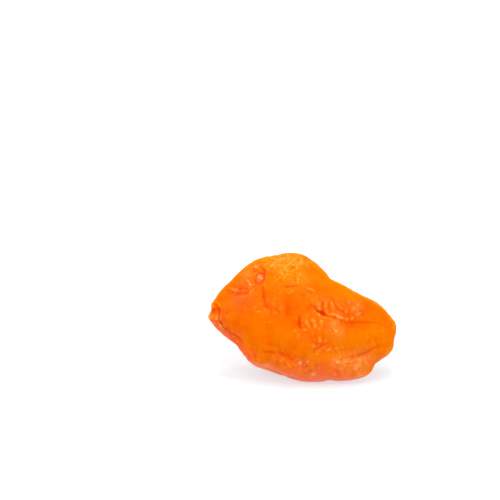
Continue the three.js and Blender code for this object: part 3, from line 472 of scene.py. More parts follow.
# Rounds of smoothing that the skin's small relief is measured against, the height that counts in full,
# the most that a crest may count, and what the back takes away from it. By these the material paints light
# on raised relief, shade on sunk relief and highlights on the crests.
SMOOTH_ROUNDS = 14
STAND_HEIGHT = 0.11
CREST_ROUNDS = 8
CREST_HEIGHT = 0.08
CREST_MOST = 1.2
CREST_BACK = 0.4

# ---- the skin's material ----

# What the mesh says at each point.
ZONES = (*SPOTS, "painted_reflection", "crown", "fold", "stand", "crest")
# Patterns: size in millimetres, detail and roughness.
SKIN_PATTERNS = {
    "mottle": (2.6, 4, 0.6),
    "stray": (0.4, 1, 0.5),
    "pores": (0.55, 2, 0.5),
    "gloss": (2.5, 3, 0.5),
}
# Size of the cells that the painted glints of the pale grains sit in, how far they stray, and the height of
# the pores.
GRAIN_SIZE = 0.74
GRAIN_STRAY = 0.35
PORE_HEIGHT = 0.24
# Shares: what each is read from, between which values, and what it is at either end.
SKIN_SHARES = {
    "mottled": ("mottle", 0.38, 0.66, 0, 0.75),
    # painted shade, darker and redder, in the pits and along the creases where the red spots lie
    "painted_pit_shade": ("red", 0, 1, 0, 0.45),
    # painted light on what stands out of the smoothed skin, and painted shade on what is sunk in it
    "proud": ("stand", 0.1, 1, 0, 0.85),
    "sunk": ("stand", -0.1, -1, 0, 0.5),
    # painted highlight on the sharpest crests
    "thin": ("crest", 0.25, 1.2, 0, 0.72),
    "gap": ("cells", 0.5, 0.85, 0, 0.6),
    # the painted glint of a grain, near the middle of its cell
    "seed": ("cells", 0.6, 0.15, 0, 0.85),
    "pebbled": ("wrinkled", 0, 1, 0.15, 0.65),
    "rough": ("gloss", 0.3, 0.7, 0.14, 0.24),
    "sticky": ("wrinkled", 0, 1, 0.008, 0.075),
}
# Shares that are the product of two others.
SKIN_PRODUCTS = {
    "gaps": ("gap", "grain_and_glint"),
    "seeds": ("seed", "grain_and_glint"),
    "pored": ("pores", "pebbled"),
}
# Layers of colour over the flesh, from the lowest to the highest: the share and the colour. Many are painted
# light: shade in the folds, pits and hollows and on the crown's top rim, light on raised wrinkles, highlights
# on the crests, grains and beads, reflection of the bright floor in the pink, peach and rim layers, and, in
# part, light from above on the crown.
SKIN_LAYERS = (
    ("mottled", "deep_flesh"), ("gold", "gold"), ("crown", "crown"), ("peach", "peach"), ("pink", "pink"),
    ("painted_pit_shade", "crease"), ("proud", "ridge"), ("sunk", "hollow"), ("fold", "crease"), ("thin", "thin"),
    ("gaps", "gap"), ("seeds", "grain_and_glint"), ("painted_reflection", "painted_reflection"), ("painted_glint", "painted_glint"), ("deep", "deep"),
)
# The layer that tints what is under it, where the others cover it.
TINTING = "deep"
# Light goes about as far into the flesh as the subsurface scale, and red goes furthest. The coat is the
# film of sugar.
SKIN_SHADER = {
    "IOR": 1.4,
    "Specular IOR Level": 0.0,
    "Subsurface Weight": 0.8,
    "Subsurface Radius": (1.0, 0.35, 0.05),
    "Subsurface Scale": 1.2 * MM,
    "Coat Roughness": 0.09,
    "Coat IOR": 1.8,
}

# ---- the stage ----

# The board's second tone, the size of its clouding in millimetres, and the linear colour of its glow.
BOARD_SHADE = "a0a8ac"
BOARD_CLOUD = 30
BOARD_GLOW = (0.87, 0.93, 1, 1)
# How much looking back counts against looking up, and where the brightening begins and ends.
BACK_SHARE = 0.6
DIM_BELOW = 0.05
BRIGHT_ABOVE = 0.75
# The lamps: name, share of the strength, and where each stands. All look LAMP_WIDTH degrees wide, and
# their light is warm. Its colour is linear.
LAMPS = (
    ("back_lamp", 1.0, (-0.15, 0.45, 0.9)),
    ("top_lamp", 1.0, (0.1, 0.02, 1.0)),
    ("front_lamp", 0.7, (-0.05, -0.5, 0.85)),
    ("left_lamp", 1.0, (-0.6, -0.6, 0.7)),
    ("right_lamp", 0.9, (0.65, -0.5, 0.7)),
)
LAMP_WIDTH = 4.5
LAMP_COLOUR = (1.0, 0.85, 0.42)
# The fruit's place in the picture: its middle, and how long its 42 mm come out, in pixels.
PICTURE_SIDE = 500
PICTURE_MIDDLE = (302.3, 316.3)
PICTURE_LENGTH = 188.0
FRUIT_LENGTH = 42.0
SENSOR = 36.0


# ---- smooth chance ----

def chance(i, j, k, seed):
    """A repeatable number from 0 to 1 for each cell corner: the fraction of a large sine, whose weights
    are arbitrary."""
    value = np.sin(i * 127.1 + j * 311.7 + k * 74.7 + seed * 53.9) * 43758.5453
    return value - np.floor(value)


def noise(points, kind):
    """Smooth value from -1 to 1: the chances of a cell's eight corners, blended with eased weights. The
    kind is the size of a cell and the seed."""
    size, seed = kind
    points = points / size
    cell = np.floor(points)
    t = points - cell
    ease = t * t * t * (t * (t * 6 - 15) + 10)
    total = np.zeros(len(points))
    for corner in np.ndindex(2, 2, 2):
        share = np.prod(np.where(corner, ease, 1 - ease), axis=1)
        total += share * chance(*(cell + corner).T, seed)
    return total * 2 - 1


def noise_vector(points, kind):
    """Three smooth values for each point, from three seeds in a row."""
    size, seed = kind
    return np.column_stack([noise(points, (size, seed + k)) for k in range(3)])


def furrow(value, softness=0.08):
    """Sharp in the valley and round on top: the hypotenuse of the value and a small softness."""
    return np.sqrt(value * value + softness * softness) - softness


def ramp(value, low, high):
    """0 below low, 1 above high, and an eased step between."""
    t = np.clip((value - low) / (high - low), 0, 1)
    return t * t * (3 - 2 * t)


def patches(points, least, rest, limits, kind):
    """The least share, and the rest of it where the noise has climbed past the limits."""
    return least + rest * ramp(noise(points, kind), *limits)


def turned_back(normals, start):
    """How far the skin is turned from the face: the fall of the normal's w below start, over BACK_SPAN."""
    return np.clip((start - normals[:, 2]) / BACK_SPAN, 0, 1)


def bell(away, radius):
    """A bell: 1 where away is nothing, and 1/e at the radius."""
    return np.exp(-(away / radius)**2)


# ---- the plain body ----

def cell_sphere(cells):
    """Unit directions and quads: the six square grids of a cube, blown up to a sphere and merged.

    The grid lines stand at equal angles, by the tangent of a quarter turn shared out evenly.
    """
    line = np.tan((np.arange(cells + 1) / cells - 0.5) * np.pi / 2)
    a, b = np.meshgrid(line, line, indexing="ij")
    one = np.ones_like(a)
    sides = ((one, a, b), (-one, b, a), (b, one, a), (a, -one, b), (a, b, one), (b, a, -one))
    points = np.concatenate([np.stack(side, -1).reshape(-1, 3) for side in sides])
    points /= np.linalg.norm(points, axis=1)[:, None]
    first = np.arange(cells * (cells + 1)).reshape(cells, cells + 1)[:, :cells].ravel()
    quad = np.stack([first, first + cells + 1, first + cells + 2, first + 1], 1)
    quads = np.concatenate([quad + side * (cells + 1) ** 2 for side in range(6)])
    _, keep, merged = np.unique(np.round(points, 6), axis=0, return_index=True, return_inverse=True)
    return points[keep], merged.reshape(-1)[quads]


def outline_radius(degrees):
    """Radius of the outline: a smooth cubic from point to point, each slope set by its neighbours."""
    angle = np.concatenate([OUTLINE[-2:, 0] - 360, OUTLINE[:, 0], OUTLINE[:2, 0] + 360])
    radius = np.concatenate([OUTLINE[-2:, 1], OUTLINE[:, 1], OUTLINE[:2, 1]])
    slope = (radius[2:] - radius[:-2]) / (angle[2:] - angle[:-2])
    angle, radius = angle[1:-1], radius[1:-1]
    at = (degrees - angle[0]) % 360 + angle[0]
    i = np.clip(np.searchsorted(angle, at, side="right") - 1, 0, len(angle) - 2)
    span = angle[i + 1] - angle[i]
    t = (at - angle[i]) / span
    return ((2 * t**3 - 3 * t**2 + 1) * radius[i] + (t**3 - 2 * t**2 + t) * span * slope[i]
            + (3 * t**2 - 2 * t**3) * radius[i + 1] + (t**3 - t**2) * span * slope[i + 1])


def body_points(s, sizes):
    """The plain body for unit directions s: across the face, the oval eased into the outline with the
    cube of the distance from the middle; through the fruit, a power of the direction's third part,
    fuller at the back low down; and the whole sheared back by LEAN."""
    rho = np.hypot(s[:, 0], s[:, 1])
    angle = np.arctan2(s[:, 1], s[:, 0])
    oval = 1 / np.hypot(np.cos(angle) / HALF_LENGTH, np.sin(angle) / HALF_HEIGHT)
    radius = oval + (outline_radius(np.degrees(angle)) - oval) * rho**3
    x = radius * rho * np.cos(angle)
    v = radius * rho * np.sin(angle)
    low = ramp(LOW_START - v, 0, LOW_SPAN)
    height = np.abs(s[:, 2])
    face = sizes["face_depth"] * height**CROWN_POWER
    back = (sizes["back_depth"] + sizes["low_fill"] * low) * height**(CROWN_POWER - LOW_POWER_DROP * low)
    return np.stack([x, v, np.where(s[:, 2] > 0, face, -back) - LEAN * v], 1)


def on_body(places, side, sizes):
    """Points of the plain body above the given (x, v), found by stepping the direction towards them."""
    target = np.asarray(places, float)
    s = target / (HALF_LENGTH, HALF_HEIGHT)
    for _ in range(FINDING_STEPS):
        rho = np.linalg.norm(s, axis=1)[:, None]
        s = s * np.minimum(1, RIM_LIMIT / np.maximum(rho, 1e-9))
        lift = side * np.sqrt(np.maximum(0, 1 - (s**2).sum(1)))
        found = body_points(np.column_stack([s, lift]), sizes)
        s = s + (target - found[:, :2]) / HALF_LENGTH
    return found


def vertex_normals(points, quads):
    """The sum of the cross products of the diagonals of the quads round each point, made unit."""
    a, b, c, d = (points[quads[:, k]] for k in range(4))
    cross = np.cross(c - a, d - b)
    total = np.stack([
        sum(np.bincount(quads[:, corner], cross[:, axis], len(points)) for corner in range(4))
        for axis in range(3)], 1)
    return total / np.linalg.norm(total, axis=1)[:, None]


# ---- relief ----

def smooth_chain(knots, depths, steps=4):
    """A smooth curve through the knots, as points with depths: each span is the usual cubic of four
    neighbours, and the ends are mirrored."""
    ends = np.concatenate([[2 * knots[0] - knots[1]], knots, [2 * knots[-1] - knots[-2]]])
    t = (np.arange(steps) / steps)[None, :, None]
    p0, p1, p2, p3 = (ends[k:len(ends) - 3 + k, None] for k in range(4))
    spans = 0.5 * (2 * p1 + (p2 - p0) * t + (2 * p0 - 5 * p1 + 4 * p2 - p3) * t**2
                   + (3 * p1 - p0 - 3 * p2 + p3) * t**3)
    points = np.concatenate([spans.reshape(-1, 3), knots[-1:]])
    share = np.arange(len(points)) / steps
    return points, np.interp(share, np.arange(len(depths)), depths)


def nearest_on_chain(points, normals, chain, depths):
    """For each point, the nearest place on the chain: distance, side (1 left, -1 right), depth, and
    distance along. Points further than CREASE_REACH from the chain's box keep a far distance."""
    distance = np.full(len(points), 1e9)
    side, depth, along = np.zeros((3, len(points)))
    box = (points > chain.min(0) - CREASE_REACH) & (points < chain.max(0) + CREASE_REACH)
    near = np.flatnonzero(box.all(1))
    lengths = np.linalg.norm(np.diff(chain, axis=0), axis=1)
    starts = np.concatenate([[0], np.cumsum(lengths)])
    for i, span in enumerate(lengths):
        run = chain[i + 1] - chain[i]
        from_start = points[near] - chain[i]
        t = np.clip(from_start @ run / span**2, 0, 1)
        off = from_start - t[:, None] * run
        away = np.linalg.norm(off, axis=1)
        closer = away < distance[near]
        chosen = near[closer]
        distance[chosen] = away[closer]
        turn = np.einsum("ij,ij->i", np.cross(run[None], off[closer]), normals[chosen])
        side[chosen] = np.sign(turn)
        depth[chosen] = depths[i] + (depths[i + 1] - depths[i]) * t[closer]
        along[chosen] = starts[i] + t[closer] * span
    return distance, side, depth, along


def crease_relief(points, looked, normals, vary, sizes):
    """Height and fold share of all creases; the fold share is where the material paints shade. Each is a
    narrow bell cut to its depth, with a raised lip on either side, a broad valley, and puckers that cross
    it: noise that is short along the crease."""
    height = np.zeros(len(points))
    fold = np.zeros(len(points))
    cut = np.full(len(points), PUCKER_CUT)
    shift = PUCKER_SHIFTED * noise(points, PUCKER_SHIFT)
    creases = [(FACE, *crease) for crease in FACE_CREASES] + [(BACK, *crease) for crease in BACK_CREASES]
    for side_of, width, run, *extras in creases:
        lip_left, lip_right, valley, pucker = (*extras, 0, 0, 0, 0)[:4]
        run = np.array(run, float)
        chain, depths = smooth_chain(on_body(run[:, :2], side_of, sizes), run[:, 2])
        distance, side, depth, along = nearest_on_chain(looked, normals, chain, depths)
        share = np.abs(depth) / np.abs(run[:, 2]).max()
        width = width * vary * CREASE_WIDTH
        height -= CREASE_DEPTH * depth / (1 + (distance / width)**2)**CREASE_FALL
        lip = np.where(side > 0, lip_left, lip_right)
        height += LIP_HEIGHT * lip * share * bell(distance - LIP_PLACE * width, LIP_WIDTH * width)
        height -= valley * share * bell(distance, VALLEY_REACH)
        deep = np.clip((depth - FOLD_START) / FOLD_SPAN, 0, 1)
        fold = np.maximum(fold, CREASE_FOLD * deep * bell(distance, width))
        if pucker:
            u = np.column_stack([along / PUCKER_PITCH + shift, distance * side / PUCKER_LENGTH, cut])
            fine = furrow(noise(u * FINE_PUCKER_SCALE, FINE_PUCKERS))
            waves = furrow(noise(u, PUCKERS)) + FINE_PUCKER_SHARE * fine
            reach = (bell(distance, PUCKER_REACH) * np.clip(distance / PUCKER_CLEAR, 0, 1)
                     * np.clip(share / PUCKER_FULL, 0, 1))
            height += PUCKER_HEIGHT * pucker * (waves - PUCKER_MIDDLE) * reach
            fold = np.maximum(fold, PUCKER_FOLD * reach * np.clip(1 - waves / PUCKER_BOTTOM, 0, 1))
    return height, fold


def from_place(points, place, sizes):
    """How each point lies from the place (x, v) on the face."""
    return points - on_body([place], FACE, sizes)[0]


def round_bell(off, radius):
    """A bell in all directions: 1 in the middle, and 1/e at the radius."""
    return np.exp(-(off**2).sum(1) / radius**2)


def spread(points, spots, sizes):
    """Share of the strongest spot at each point: its share in its middle, with a bell's fall."""
    near = np.zeros(len(points))
    for x, v, radius, *share in spots:
        bells = round_bell(from_place(points, (x, v), sizes), radius)
        near = np.maximum(near, (share or [1])[0] * bells)
    return near


def pimple(looked, sizes):
    """The pimple's dome and the ring sunk round it, as two bells of the stretched distance from its
    middle. The ring is deepest above it and to the right."""
    off = from_place(looked, PIMPLE, sizes)
    away = np.linalg.norm(off * PIMPLE_STRETCH, axis=1)
    ring = bell(away - RING, RING_WIDTH)
    ring *= RING_EVEN + RING_LEAN * (off[:, 1] + RING_ASIDE * off[:, 0]) / np.maximum(away, RING_NEAREST)
    return bell(away, PIMPLE_RADIUS), ring


def skin_relief(points, normals, off_rim, sizes):
    """Height in millimetres, fold share of painted shade and skin zones of the whole surface: the creases,
    blisters and pimple from the tables, and noise of several lengths, each strongest in its own zones."""
    wander = noise_vector(points, WANDER)
    looked = points + WANDER_REACH * wander + QUIVER_REACH * noise_vector(points, QUIVER)
    vary = 1 + WIDTH_CHANGE * noise(points, WIDTHS) + FINE_WIDTH_CHANGE * noise(points, FINE_WIDTHS)
    height, fold = crease_relief(points, looked, normals, np.clip(vary, *WIDTH_LIMITS), sizes)
    for x, v, radius, rise in BUMPS:
        height += rise * round_bell(from_place(looked, (x, v), sizes), radius)
    dome, ring = pimple(looked, sizes)
    height += PIMPLE_RISE * dome
    height -= RING_DEPTH * ring
    fold = np.maximum(fold, RING_FOLD * ring)

    # where each kind of skin is
    zones = {name: spread(looked, spots, sizes) for name, spots in SPOTS.items()}
    crowded = zones["grain_and_glint"]
    on_back = turned_back(normals, BACK_NORMAL)
    at_end = ramp(np.abs(normals[:, 0]), *END_ZONE) * turned_back(normals, END_NORMAL)
    low = ramp(-points[:, 1], *LOW_ZONE)
    crown = ramp(looked[:, 1] + CROWN_STRAY * wander[:, 0], *CROWN_FOOT)
    crown *= ramp(CROWN_STRAY * wander[:, 1] - looked[:, 0], *CROWN_RIGHT)
    crown *= CROWN_LEFT_LEAST + CROWN_LEFT_REST * ramp(points[:, 0], *CROWN_LEFT)
    crown *= 1 - on_back
    gnarled = np.maximum.reduce([on_back, END_GNARLED * at_end, LOW_GNARLED * low])
    wrinkled = np.maximum.reduce([zones["wrinkled"], gnarled, crown])

    # the broad unevenness, and the long wrinkles of the back and the ends
    height += sizes["swell"] * off_rim * noise(points, SWELL)
    bent = points + BEND_REACH * noise_vector(points, BEND)
    girth = np.sqrt(bent[:, 1]**2 + bent[:, 2]**2 + GATHER_SOFT**2)
    gathered = bent * np.stack([np.ones(len(points)), GATHER_GIRTH / girth, GATHER_GIRTH / girth], 1)
    waves = furrow(noise(gathered, LONG_WAVES)) + SHORT_WAVE * furrow(noise(gathered, SHORT_WAVES))
    off_tip = TIP_LEAST + TIP_REST * ramp(np.hypot(points[:, 1], points[:, 2]), *TIP_ZONE)
    height += sizes["shrivel"] * gnarled * off_tip * (waves - WAVE_MIDDLE)
    fold = np.maximum(fold, WAVE_FOLD * gnarled * ramp(-waves, *WAVE_BOTTOM))

    # the soft wrinkles down the face, the lumps of the lower edge, and the fine wrinkles everywhere
    drapes = furrow(noise(bent, LONG_DRAPES), DRAPE_SOFT)
    drapes += SHORT_DRAPE * furrow(noise(bent, SHORT_DRAPES), SHORT_DRAPE_SOFT)
    draped = sizes["drape"] * (1 - gnarled) * (DRAPE_PLAIN + DRAPE_WRINKLED * wrinkled)
    height += draped * (1 - DRAPE_CROWN * crown) * (drapes - DRAPE_MIDDLE)
    height += sizes["lobes"] * low * noise(bent, LUMPS)
    crumple = furrow(noise(bent, CRUMPLE)) - CRUMPLE_MIDDLE
    crumpled = (CRUMPLE_WRINKLED * wrinkled + CRUMPLE_CROWN * crown) * (1 - on_back)
    height += sizes["crumple"] * (CRUMPLE_PLAIN + crumpled) * crumple

    # the grains
    grain_and_glint = (1 - GRAIN_LOW * low) * crowded + GRAIN_CROWN * crown + GRAIN_WRINKLED * wrinkled * (1 - crown)
    grain_and_glint = np.clip(grain_and_glint, 0, 1) * (1 - GRAIN_BACK * on_back) * patches(looked, *GRAIN_PATCHES)
    pebbles = noise(looked, PEBBLES) + FINE_PEBBLE * noise(looked, FINE_PEBBLES)
    height += (sizes["pebble"] * grain_and_glint * ramp(pebbles, *PEBBLE_LEVELS)
               + ROUGHNESS_SHARE * sizes["pebble"] * noise(looked, ROUGHNESS))

    # what the material reads
    # painted reflection: skin turned down, or down and to the left, towards the bright floor is painted paler
    # pink, and so is the pimple's dome
    down = np.maximum(-normals[:, 1], -REFLECTION_LEFT * normals[:, 0] - REFLECTION_DOWN * normals[:, 1])
    painted_reflection = ramp(down + REFLECTION_STRAY * wander[:, 2], *REFLECTION_ZONE) * (1 - REFLECTION_BACK * on_back)
    zones["peach"] *= patches(looked, *PEACH_PATCHES)
    zones["painted_glint"] *= patches(looked, *PAINTED_GLINT_PATCHES)
    zones["wrinkled"] = (1 - SHINE_CROWN * crown) * np.maximum(wrinkled, SHINE_GRAINS * crowded)
    zones["painted_reflection"] = np.maximum(painted_reflection, REFLECTION_PIMPLE * dome)
    return height, {**zones, "grain_and_glint": grain_and_glint, "crown": crown, "fold": fold}


def standing(points, quads, rounds):
    """How far each point stands out of the surface smoothed over its neighbours, in millimetres."""
    ends = np.concatenate([quads[:, [k, (k + 1) % 4]] for k in range(4)])
    count = np.bincount(ends[:, 0], minlength=len(points))
    smooth = points
    for _ in range(rounds):
        total = [np.bincount(ends[:, 0], smooth[ends[:, 1], axis], len(points)) for axis in range(3)]
        smooth = 0.5 * smooth + 0.5 * np.stack(total, 1) / count[:, None]
    return np.einsum("ij,ij->i", points - smooth, vertex_normals(smooth, quads))


def skin_surface(sizes):
    """The finished skin: points in metres in the part frame, quads, and the zones as named arrays."""
    s, quads = cell_sphere(sizes["cells"])
    plain = body_points(s, sizes)
    normals = vertex_normals(plain, quads)
    off_rim = ramp(np.abs(s[:, 2]), *OFF_RIM)
    height, zones = skin_relief(plain, normals, off_rim, sizes)
    x, v, w = (plain + normals * height[:, None]).T
    tilt = math.radians(FACE_TILT)
    y = v * math.sin(tilt) - w * math.cos(tilt)
    z = v * math.cos(tilt) + w * math.sin(tilt) + FOOT_DROP
    points = np.stack([x - FOOTPRINT[0], y - FOOTPRINT[1], np.maximum(z, 0)], 1)
    # painted light and shade: what stands out is painted lighter, what is sunk darker, and the sharpest
    # crests as highlights
    stand = np.clip(standing(points, quads, SMOOTH_ROUNDS) / STAND_HEIGHT, -1, 1)
    crest = np.clip(standing(points, quads, CREST_ROUNDS) / CREST_HEIGHT, 0, CREST_MOST)
    crest *= 1 - CREST_BACK * turned_back(normals, BACK_NORMAL)
    return points * MM, quads, {**zones, "stand": stand, "crest": crest}


# ---- materials ----

def hex_colour(code):
    """Linear red, green, blue and alpha for an sRGB hex code."""
    channels = [int(code[k:k + 2], 16) / 255 for k in (0, 2, 4)]
    linear = [c / 12.92 if c <= 0.04045 else ((c + 0.055) / 1.055)**2.4 for c in channels]
    return (*linear, 1.0)


def add_node(tree, kind, settings=None, inputs=None, links=None):
    """A new node with its settings, its input values and the sockets that feed it."""
    node = tree.nodes.new(kind)
    for name, value in (settings or {}).items():
        setattr(node, name, value)
    for name, value in (inputs or {}).items():
        node.inputs[name].default_value = value
    for name, socket in (links or {}).items():
        tree.links.new(socket, node.inputs[name])
    return node


def new_material(name):
    """An empty material with a Principled shader wired to its output."""
    material = bpy.data.materials.new(name)
    material.use_nodes = True
    tree = material.node_tree
    return material, tree, tree.nodes["Principled BSDF"]


def apricot_skin(colours):
    """Dried apricot skin and flesh: sun-dried to a waxy leather that lets red light through.

    The eye sees a saturated orange. Painted shade deepens it to red in the folds, pits and hollows, the
    crown is yellower, in part as painted light from above, paler pink edges are painted reflection of the
    bright floor, and small sharp glints on the ridges are in part painted on crests, grains and beads and
    in part real, from the sticky coat on them.
    """
    material, tree, shader = new_material("dried_apricot_skin")
    where = add_node(tree, "ShaderNodeTexCoord").outputs["Object"]
    share = {}
    for name in ZONES:
        share[name] = add_node(tree, "ShaderNodeAttribute", {"attribute_name": name}).outputs["Fac"]
    for name, (size, detail, roughness) in SKIN_PATTERNS.items():
        pattern = add_node(
            tree, "ShaderNodeTexNoise", None,
            {"Scale": 1 / (size * MM), "Detail": detail, "Roughness": roughness}, {"Vector": where})
        share[name] = pattern.outputs["Fac"]

    # the grains sit in round cells that stray from their places
    strayed = add_node(
        tree, "ShaderNodeVectorMath", {"operation": "MULTIPLY_ADD"}, {1: [GRAIN_STRAY * MM] * 3},
        {0: share["stray"].node.outputs["Color"], 2: where})
    cells = add_node(
        tree, "ShaderNodeTexVoronoi", None, {"Scale": 1 / (GRAIN_SIZE * MM)},
        {"Vector": strayed.outputs["Vector"]})
    share["cells"] = cells.outputs["Distance"]

    for name, (source, low, high, first, last) in SKIN_SHARES.items():
        between = add_node(
            tree, "ShaderNodeMapRange", None,
            {"From Min": low, "From Max": high, "To Min": first, "To Max": last}, {"Value": share[source]})
        share[name] = between.outputs["Result"]
    for name, (one, other) in SKIN_PRODUCTS.items():
        product = add_node(
            tree, "ShaderNodeMath", {"operation": "MULTIPLY"}, None, {0: share[one], 1: share[other]})
        share[name] = product.outputs["Value"]

    # each layer is mixed over the one below it, and the lowest over the flesh
    flesh, below = {6: hex_colour(colours["flesh"])}, {}
    for name, tone in SKIN_LAYERS:
        blend = "MULTIPLY" if name == TINTING else "MIX"
        layer = add_node(
            tree, "ShaderNodeMix", {"data_type": "RGBA", "blend_type": blend},
            {**flesh, 7: hex_colour(colours[tone])}, {**below, 0: share[name]})
        flesh, below = {}, {6: layer.outputs[2]}

    bump = add_node(
        tree, "ShaderNodeBump", None, {"Strength": 1.0, "Distance": PORE_HEIGHT * MM},
        {"Height": share["pored"]})
    for name, socket in (("Coat Weight", share["sticky"]), ("Roughness", share["rough"]),
                         ("Base Color", layer.outputs[2]), ("Normal", bump.outputs["Normal"])):
        tree.links.new(socket, shader.inputs[name])
    for name, value in SKIN_SHADER.items():
        shader.inputs[name].default_value = value
    return material


def matt_board(tone, glow):
    """White matt board lit from within, as a product table is: shade on it stays faint."""
    material, tree, shader = new_material("matt_white_board")
    where = add_node(tree, "ShaderNodeTexCoord").outputs["Object"]
    clouds = add_node(
        tree, "ShaderNodeTexNoise", None, {"Scale": 1 / (BOARD_CLOUD * MM), "Detail": 3.0}, {"Vector": where})
    shade = add_node(
        tree, "ShaderNodeMix", {"data_type": "RGBA"}, {6: hex_colour(tone), 7: hex_colour(BOARD_SHADE)},
        {0: clouds.outputs["Fac"]})
    tree.links.new(shade.outputs[2], shader.inputs["Base Color"])
    shader.inputs["Roughness"].default_value = 0.8
    shader.inputs["Specular IOR Level"].default_value = 0.1
    shader.inputs["Emission Color"].default_value = BOARD_GLOW
    shader.inputs["Emission Strength"].default_value = glow
    return material


# ---- what a user would change ----

def length(name, description, millimetres):
    """A length of so many millimetres."""
    return FloatProperty(name=name, description=description, default=millimetres * MM, unit="LENGTH")


def colour(name, description, code):
    """A colour, as an sRGB hex code."""
    return StringProperty(name=name, description=f"Colour {description}", default=code)


def strength(name, description, value):
    """The strength of a light."""
    return FloatProperty(name=name, description=f"Strength {description}", default=value)


class ApricotSizes(bpy.types.PropertyGroup):
    """Sizes of the fruit's form and relief"""

    face_depth: length("Face depth", "Rise of the face over the rim", 9.6)
    back_depth: length("Back depth", "Depth of the back behind the rim", 9.0)
    low_fill: length("Low fill", "Extra depth of the back where the fruit sits", 5.0)
    swell: length("Swell", "Height of the broad unevenness", 0.45)
    shrivel: length("Shrivel", "Height of the long wrinkles", 0.55)
    crumple: length("Crumple", "Height of the fine wrinkles", 0.18)
    drape: length("Drape", "Height of the soft wrinkles down the face", 0.22)
    lobes: length("Lobes", "Height of the lumps along the lower edge", 0.4)
    pebble: length("Pebble", "Height of the small grains", 0.09)
    cells: IntProperty(
        name="Cells", description="Grid cells along each side of the six grids", default=128, min=8, max=128)


class ApricotColours(bpy.types.PropertyGroup):
    """Colours of the skin"""

    flesh: colour("Flesh", "of the open face", "e47000")
    deep_flesh: colour("Deep flesh", "of the darker mottling", "de5e00")
    # yellower than the flesh, in part painted light from above
    crown: colour("Crown", "of the yellow upper lobe", "d47b00")
    gold: colour("Gold", "where the flesh is yellower", "de7800")
    # darker in colour; along the crown's top rim this is painted shade
    deep: colour("Deep", "that tints the deeper flesh", "f3dddd")
    # painted reflection of the bright floor: the pink and the peach of the edges that face down or aside
    pink: colour("Pink", "of the pinker skin", "ea6232")
    peach: colour("Peach", "of the low lobes", "ee883e")
    # painted light on the raised wrinkles
    ridge: colour("Ridge", "of the thin raised wrinkles", "ea8004")
    # painted highlight on the sharpest crests
    thin: colour("Thin", "of the sharpest, thinnest ridges", "f49e38")
    # painted glints: the pale dots of the grains
    grain_and_glint: colour("Grain", "of the small pale grains", "f2b04e")
    gap: colour("Gap", "between the small pale grains", "b05400")
    # painted reflection of the bright floor: the paler pink of the lower rim
    painted_reflection: colour("Reflection", "of the paler lower rim", "ee745c")
    # painted glints: the colour of the small pale spots
    painted_glint: colour("Glint", "of the small beads of sugar", "f8bc84")
    # painted shade between the wrinkles
    hollow: colour("Hollow", "between the wrinkles", "d04600")
    # painted shade, darker and redder, deep in the folds and pits
    crease: colour("Crease", "deep in the folds", "de3000")


class StageSettings(bpy.types.PropertyGroup):
    """Floor, light and camera"""

    floor_colour: colour("Floor", "of the board", "9aa2a6")
    floor_glow: strength("Floor glow", "of the light from the board", 0.65)
    floor_size: length("Floor size", "Side of the board", 4000.0)
    softbox: strength("Softbox", "of the white overhead", 1.15)
    front: strength("Front", "of the room behind the camera", 0.8)
    lamp_strength: strength("Lamps", "of the small lamps that make the glints", 0.5)
    lens: FloatProperty(name="Lens", description="Focal length", default=300.0, unit="CAMERA")
    sight: FloatProperty(
        name="Sight", description="Height of the view over the floor", default=math.radians(FACE_TILT),
        subtype="ANGLE")


# ---- pieces ----

def put_in_scene(context, name, data):
    """A new object of that name that holds the data, linked to the scene."""
    thing = bpy.data.objects.new(name, data)
    context.scene.collection.objects.link(thing)
    return thing


class APRICOT_OT_fruit(bpy.types.Operator):
    """Make the fruit's skin as one closed surface and give it its material"""

    bl_idname = "apricot.fruit"
    bl_label = "Make the fruit"

    def execute(self, context):
        settings = context.scene.apricot_sizes
        sizes = {name: getattr(settings, name) / MM for name in settings.__annotations__ if name != "cells"}
        sizes["cells"] = settings.cells
        points, quads, zones = skin_surface(sizes)
        mesh = bpy.data.meshes.new("apricot_flesh")
        mesh.from_pydata(points, [], quads.tolist())
        mesh.shade_smooth()
        for name, values in zones.items():
            attribute = mesh.attributes.new(name, "FLOAT", "POINT")
            attribute.data.foreach_set("value", values.astype(np.float32))
        colours = context.scene.apricot_colours
        codes = {name: getattr(colours, name) for name in colours.__annotations__}
        mesh.materials.append(apricot_skin(codes))
        fruit = put_in_scene(context, "apricot_flesh", mesh)
        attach(fruit, "root")
        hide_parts(FRUIT_NODE)
        return {"FINISHED"}


def aimed(thing, place, target):
    """Put a light or the camera at a place and turn it to look at the target."""
    thing.location = place
    thing.rotation_euler = (Vector(target) - Vector(place)).to_track_quat("-Z", "Y").to_euler()


def white_studio(softbox, front):
    """A studio lit from overhead and behind, and dim behind the camera: the strength goes from the front
    value to the softbox value with the height of the view plus a share of how far it looks to the back."""
    world = bpy.data.worlds.new("white_studio")
    world.use_nodes = True
    tree = world.node_tree
    where = add_node(tree, "ShaderNodeTexCoord").outputs["Generated"]
    across = add_node(
        tree, "ShaderNodeVectorMath", {"operation": "DOT_PRODUCT"}, {1: (0, BACK_SHARE, 1)}, {0: where})
    brightness = add_node(
        tree, "ShaderNodeMapRange", {"interpolation_type": "SMOOTHSTEP"},
        {"From Min": DIM_BELOW, "From Max": BRIGHT_ABOVE, "To Min": front, "To Max": softbox},
        {"Value": across.outputs["Value"]})
    background = tree.nodes["Background"]
    background.inputs["Color"].default_value = (1, 1, 1, 1)
    tree.links.new(brightness.outputs["Result"], background.inputs["Strength"])
    return world


